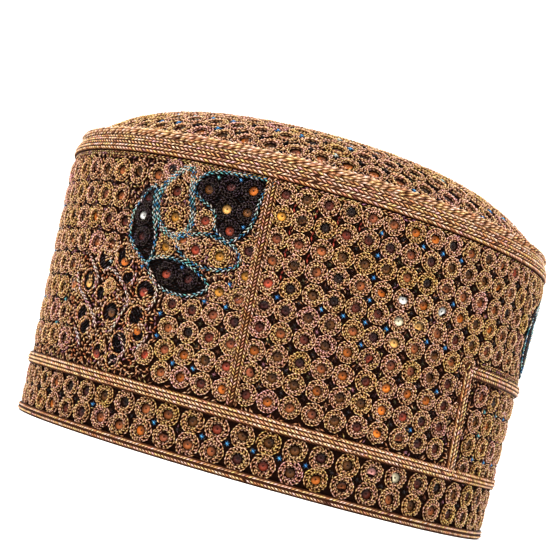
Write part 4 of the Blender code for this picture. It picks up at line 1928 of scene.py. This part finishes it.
@dataclass
class Trims:
    """Plaits, cord and chain lines sewn on the cap's trims."""

    shop: Workshop
    crown_braid_foot: float = 0.1069
    crown_braid_height: float = 0.0056
    hem_level: float = 0.00195
    band_low: float = 0.0220
    band_high: float = 0.0610
    block_start: float = 48.4
    block_end: float = 131.0
    riser_slant: float = -2.2
    panel_slant: float = -2.6
    panels: tuple[float, ...] = (-6.8, 113.2, 233.2)
    cord_strands: int = 9
    cord_turns: int = 240
    cord_slant: float = 15.0
    seed: int = 3

    def __post_init__(self) -> None:
        """Start the random draws."""
        self.rng = np.random.default_rng(self.seed)

    def level(self, height: float, start: float = 0.0, end: float = 360.0) -> np.ndarray:
        """A level line round the wall.

        Args:
            height: its height.
            start: azimuth of its start.
            end: azimuth of its end.

        Returns:
            Lengths round the wall and heights, a row for each point.
        """
        azimuths = np.linspace(start, end, 181)
        return np.stack([FORM.length_at(azimuths), np.full(181, height)], axis=1)

    def stepped(self) -> np.ndarray:
        """Middle line of the stepped band.

        Returns:
            Lengths round the wall and heights, a row for each point.
        """
        corners = [
            (self.block_end - 360, self.band_low),
            (self.block_start, self.band_low),
            (self.block_start + self.riser_slant, self.band_high),
            (self.block_end + self.riser_slant, self.band_high),
            (self.block_end, self.band_low),
        ]
        line = []
        for (start, low), (end, high) in zip(corners, corners[1:]):
            share = np.linspace(0, 1, 60, endpoint=False)[:, None]
            line.append(np.hstack([FORM.length_at(start + (end - start) * share),
                                   low + (high - low) * share]))
        return np.concatenate(line)

    def build(self) -> None:
        """Sew all trims, and give their fillings a finish."""
        for name in ("crown_cord", "crown_braid", "band_braid", "hem_braid",
                     "panel_braid_side", "panel_braid_brow", "panel_braid_back"):
            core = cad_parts[name]
            core.data.materials.clear()
            core.data.materials.append(self.shop.core)
        crown_line = self.level(self.crown_braid_foot + self.crown_braid_height / 2)
        for name, plait, line, closed in (("crown", CROWN_PLAIT, crown_line, False),
                                          ("band", BAND_PLAIT, self.stepped(), True),
                                          ("hem", HEM_PLAIT, self.level(self.hem_level), False)):
            work = Needlework(self.shop, self.rng)
            work.plait(plait, line, TRIM_DYES, closed)
            work.sewn(f"{name}_braid_strands")
        self.sew_chain_lines()
        self.sew_panel_strands()
        self.lay_cord()

    def sew_chain_lines(self) -> None:
        """Sew the thin chain lines under the crown's braid and over the raised band."""
        work = Needlework(self.shop, self.rng)
        work.plait(LINE_CHAIN, self.level(self.crown_braid_foot - 0.0011), CHAIN_DYES)
        work.plait(LINE_CHAIN, self.level(self.band_high + 0.0037, self.block_start + 1, self.block_end - 4),
                   CHAIN_DYES)
        work.sewn("chain_line_stitches")

    def sew_panel_strands(self) -> None:
        """Sew chevrons up the bands between the panels."""
        work = Needlework(self.shop, self.rng)
        for azimuth in self.panels:
            raised = self.block_start < azimuth % 360 < self.block_end
            foot = (self.band_high if raised else self.band_low) + 0.003
            heights = np.linspace(foot, self.crown_braid_foot - 0.001, 40)
            azimuths = azimuth + self.panel_slant * heights / FORM.wall_top
            work.plait(PANEL_PLAIT, np.stack([FORM.length_at(azimuths), heights], axis=1), PANEL_TRIM_DYES)
        work.sewn("panel_braid_strands")

    def lay_cord(self) -> None:
        """Lay the twisted strands of the cord at the crown's seam."""
        work, radius, count = Needlework(self.shop, self.rng), FORM.cord_diameter / 2, self.cord_turns
        upright = np.array([0.0, 0.0, 1.0])
        slant = math.radians(self.cord_slant)
        level = np.full(count, FORM.wall_top)
        for index in range(self.cord_strands):
            turned = np.arange(count) * 360 / count + index * 360 / count / self.cord_strands
            turned = turned + self.rng.normal(0, 0.25, count)
            middle = FORM.wall(turned, level, FORM.seam_gap + radius)
            course = unit(FORM.wall(turned + 0.2, level, FORM.seam_gap + radius) - middle)
            angle = math.tau * index / self.cord_strands
            facing = unit(np.cross(course, upright)) * math.cos(angle) + upright * math.sin(angle)
            heading = course * math.cos(slant) + np.cross(facing, course) * math.sin(slant)
            work.threads.lay(middle + facing * (radius - 0.00025), heading, facing,
                             (0.0046, 0.00122, 0.0016),
                             tinted(TRIM_DYES, count, self.rng, 0.08) * TRIM_BRIGHT)
        work.sewn("crown_cord_strands")


@dataclass
class Studio:
    """Seamless pale floor, soft lights and the camera."""

    eye: tuple[float, float, float] = (0.003687, -0.5689, 0.0262)
    forward: tuple[float, float, float] = (0.0, 0.9954, 0.0958)
    roll: float = 15.7
    lens: float = 86.97
    sensor: float = 36.0
    shift: tuple[float, float] = (-0.0346, 0.0100)
    floor_radius: float = 1.7
    wall_rise: float = 2.4

    def build(self) -> None:
        """Set up floor, lights, camera and the picture's look."""
        self.paper()
        self.light("key_light", (-0.42, -0.85, 1.15), 0.28, 19.0, (1.0, 0.97, 0.94))
        self.light("fill_light", (0.85, -0.85, 0.60), 0.6, 3.6, (0.98, 0.99, 1.0))
        self.light("top_light", (0.1, 0.35, 1.3), 0.6, 7.4, (1.0, 1.0, 1.0))
        self.light("rear_light", (-0.3, 1.1, 0.9), 0.8, 6.6, (1.0, 0.98, 0.95))
        world = bpy.data.worlds.new("studio_air")
        bpy.context.scene.world = world
        world.use_nodes = True
        background = world.node_tree.nodes["Background"]
        background.inputs["Color"].default_value = (1.0, 1.0, 1.0, 1.0)
        background.inputs["Strength"].default_value = 0.12
        self.camera()
        bpy.context.scene.view_settings.view_transform = "Standard"

    def paper(self) -> None:
        """Model the floor as a disc whose rim rises all round, with no edge in view."""
        Bench.clear()
        bpy.ops.mesh.primitive_circle_add(vertices=96, radius=self.floor_radius, fill_type="NGON")
        piece = Bench.take_up()
        piece.name = "studio_floor"
        with Bench.editing(piece):
            bpy.ops.mesh.select_all(action="SELECT")
            bpy.ops.mesh.inset(thickness=self.floor_radius * 0.7, depth=0.0)
            Bench.select_points(piece, lambda co: math.hypot(co.x, co.y) > self.floor_radius * 0.9)
            steps = 10
            for step in range(1, steps + 1):
                angle = math.radians(90) * step / steps
                before = math.radians(90) * (step - 1) / steps
                grow = ((self.floor_radius + 0.9 * math.sin(angle))
                        / (self.floor_radius + 0.9 * math.sin(before)))
                lift = 0.9 * (math.cos(before) - math.cos(angle))
                bpy.ops.mesh.extrude_region_move(TRANSFORM_OT_translate={"value": (0.0, 0.0, lift)})
                bpy.ops.transform.resize(value=(grow, grow, 1.0))
            bpy.ops.mesh.extrude_region_move(TRANSFORM_OT_translate={"value": (0.0, 0.0, self.wall_rise)})
        piece.data.shade_smooth()
        piece.data.materials.append(FloorFinish().made())
        piece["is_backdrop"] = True

    def light(self, name: str, place: tuple[float, float, float], size: float, power: float,
              colour: tuple[float, float, float]) -> None:
        """Hang a square soft light that looks at the cap.

        Args:
            name: the light's name.
            place: where it hangs.
            size: length of its sides.
            power: its power in watts.
            colour: its colour.
        """
        data = bpy.data.lights.new(name, "AREA")
        data.size = size
        data.energy = power
        data.color = colour
        lamp = bpy.data.objects.new(name, data)
        bpy.context.scene.collection.objects.link(lamp)
        lamp.location = place
        lamp.rotation_euler = (Vector((0.0, 0.0, 0.06)) - Vector(place)).to_track_quat("-Z", "Y").to_euler()

    def camera(self) -> None:
        """Set the camera at the design's angle."""
        data = bpy.data.cameras.new("view")
        data.lens = self.lens
        data.sensor_width = self.sensor
        data.shift_x, data.shift_y = self.shift
        data.clip_start, data.clip_end = 0.01, 20.0
        camera = bpy.data.objects.new("view", data)
        bpy.context.scene.collection.objects.link(camera)
        ahead = Vector(self.forward).normalized()
        level = Vector((1.0, 0.0, 0.0))
        upright = level.cross(ahead)
        cos_roll, sin_roll = math.cos(math.radians(self.roll)), math.sin(math.radians(self.roll))
        right = level * cos_roll + upright * sin_roll
        top = upright * cos_roll - level * sin_roll
        turn = Matrix((right, top, -ahead)).transposed().to_4x4()
        camera.matrix_world = Matrix.Translation(self.eye) @ turn
        bpy.context.scene.camera = camera


def main() -> None:
    """Build the cap's sub-assemblies and the studio."""
    logging.basicConfig(level=logging.INFO, format="%(name)s: %(message)s")
    Studio().build()
    shop = Workshop.opened()
    SideWall().build(shop)
    crown = Crown()
    crown.build_cloth(shop)
    crown.build_rings(shop)
    motifs = [
        Petals(shop, 0.0, "side", seed=21),
        Petals(shop, 112.0, "brow", seed=22, bottom=False, lattice=False),
        Petals(shop, 240.0, "back", seed=23),
    ]
    RingField(shop, motifs).build()
    for motif in motifs:
        motif.build()
    Trims(shop).build()
    {"cad_box": CAD_BOX, "visual_box": [list(corner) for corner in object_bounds()]}


if __name__ == "__main__":
    main()
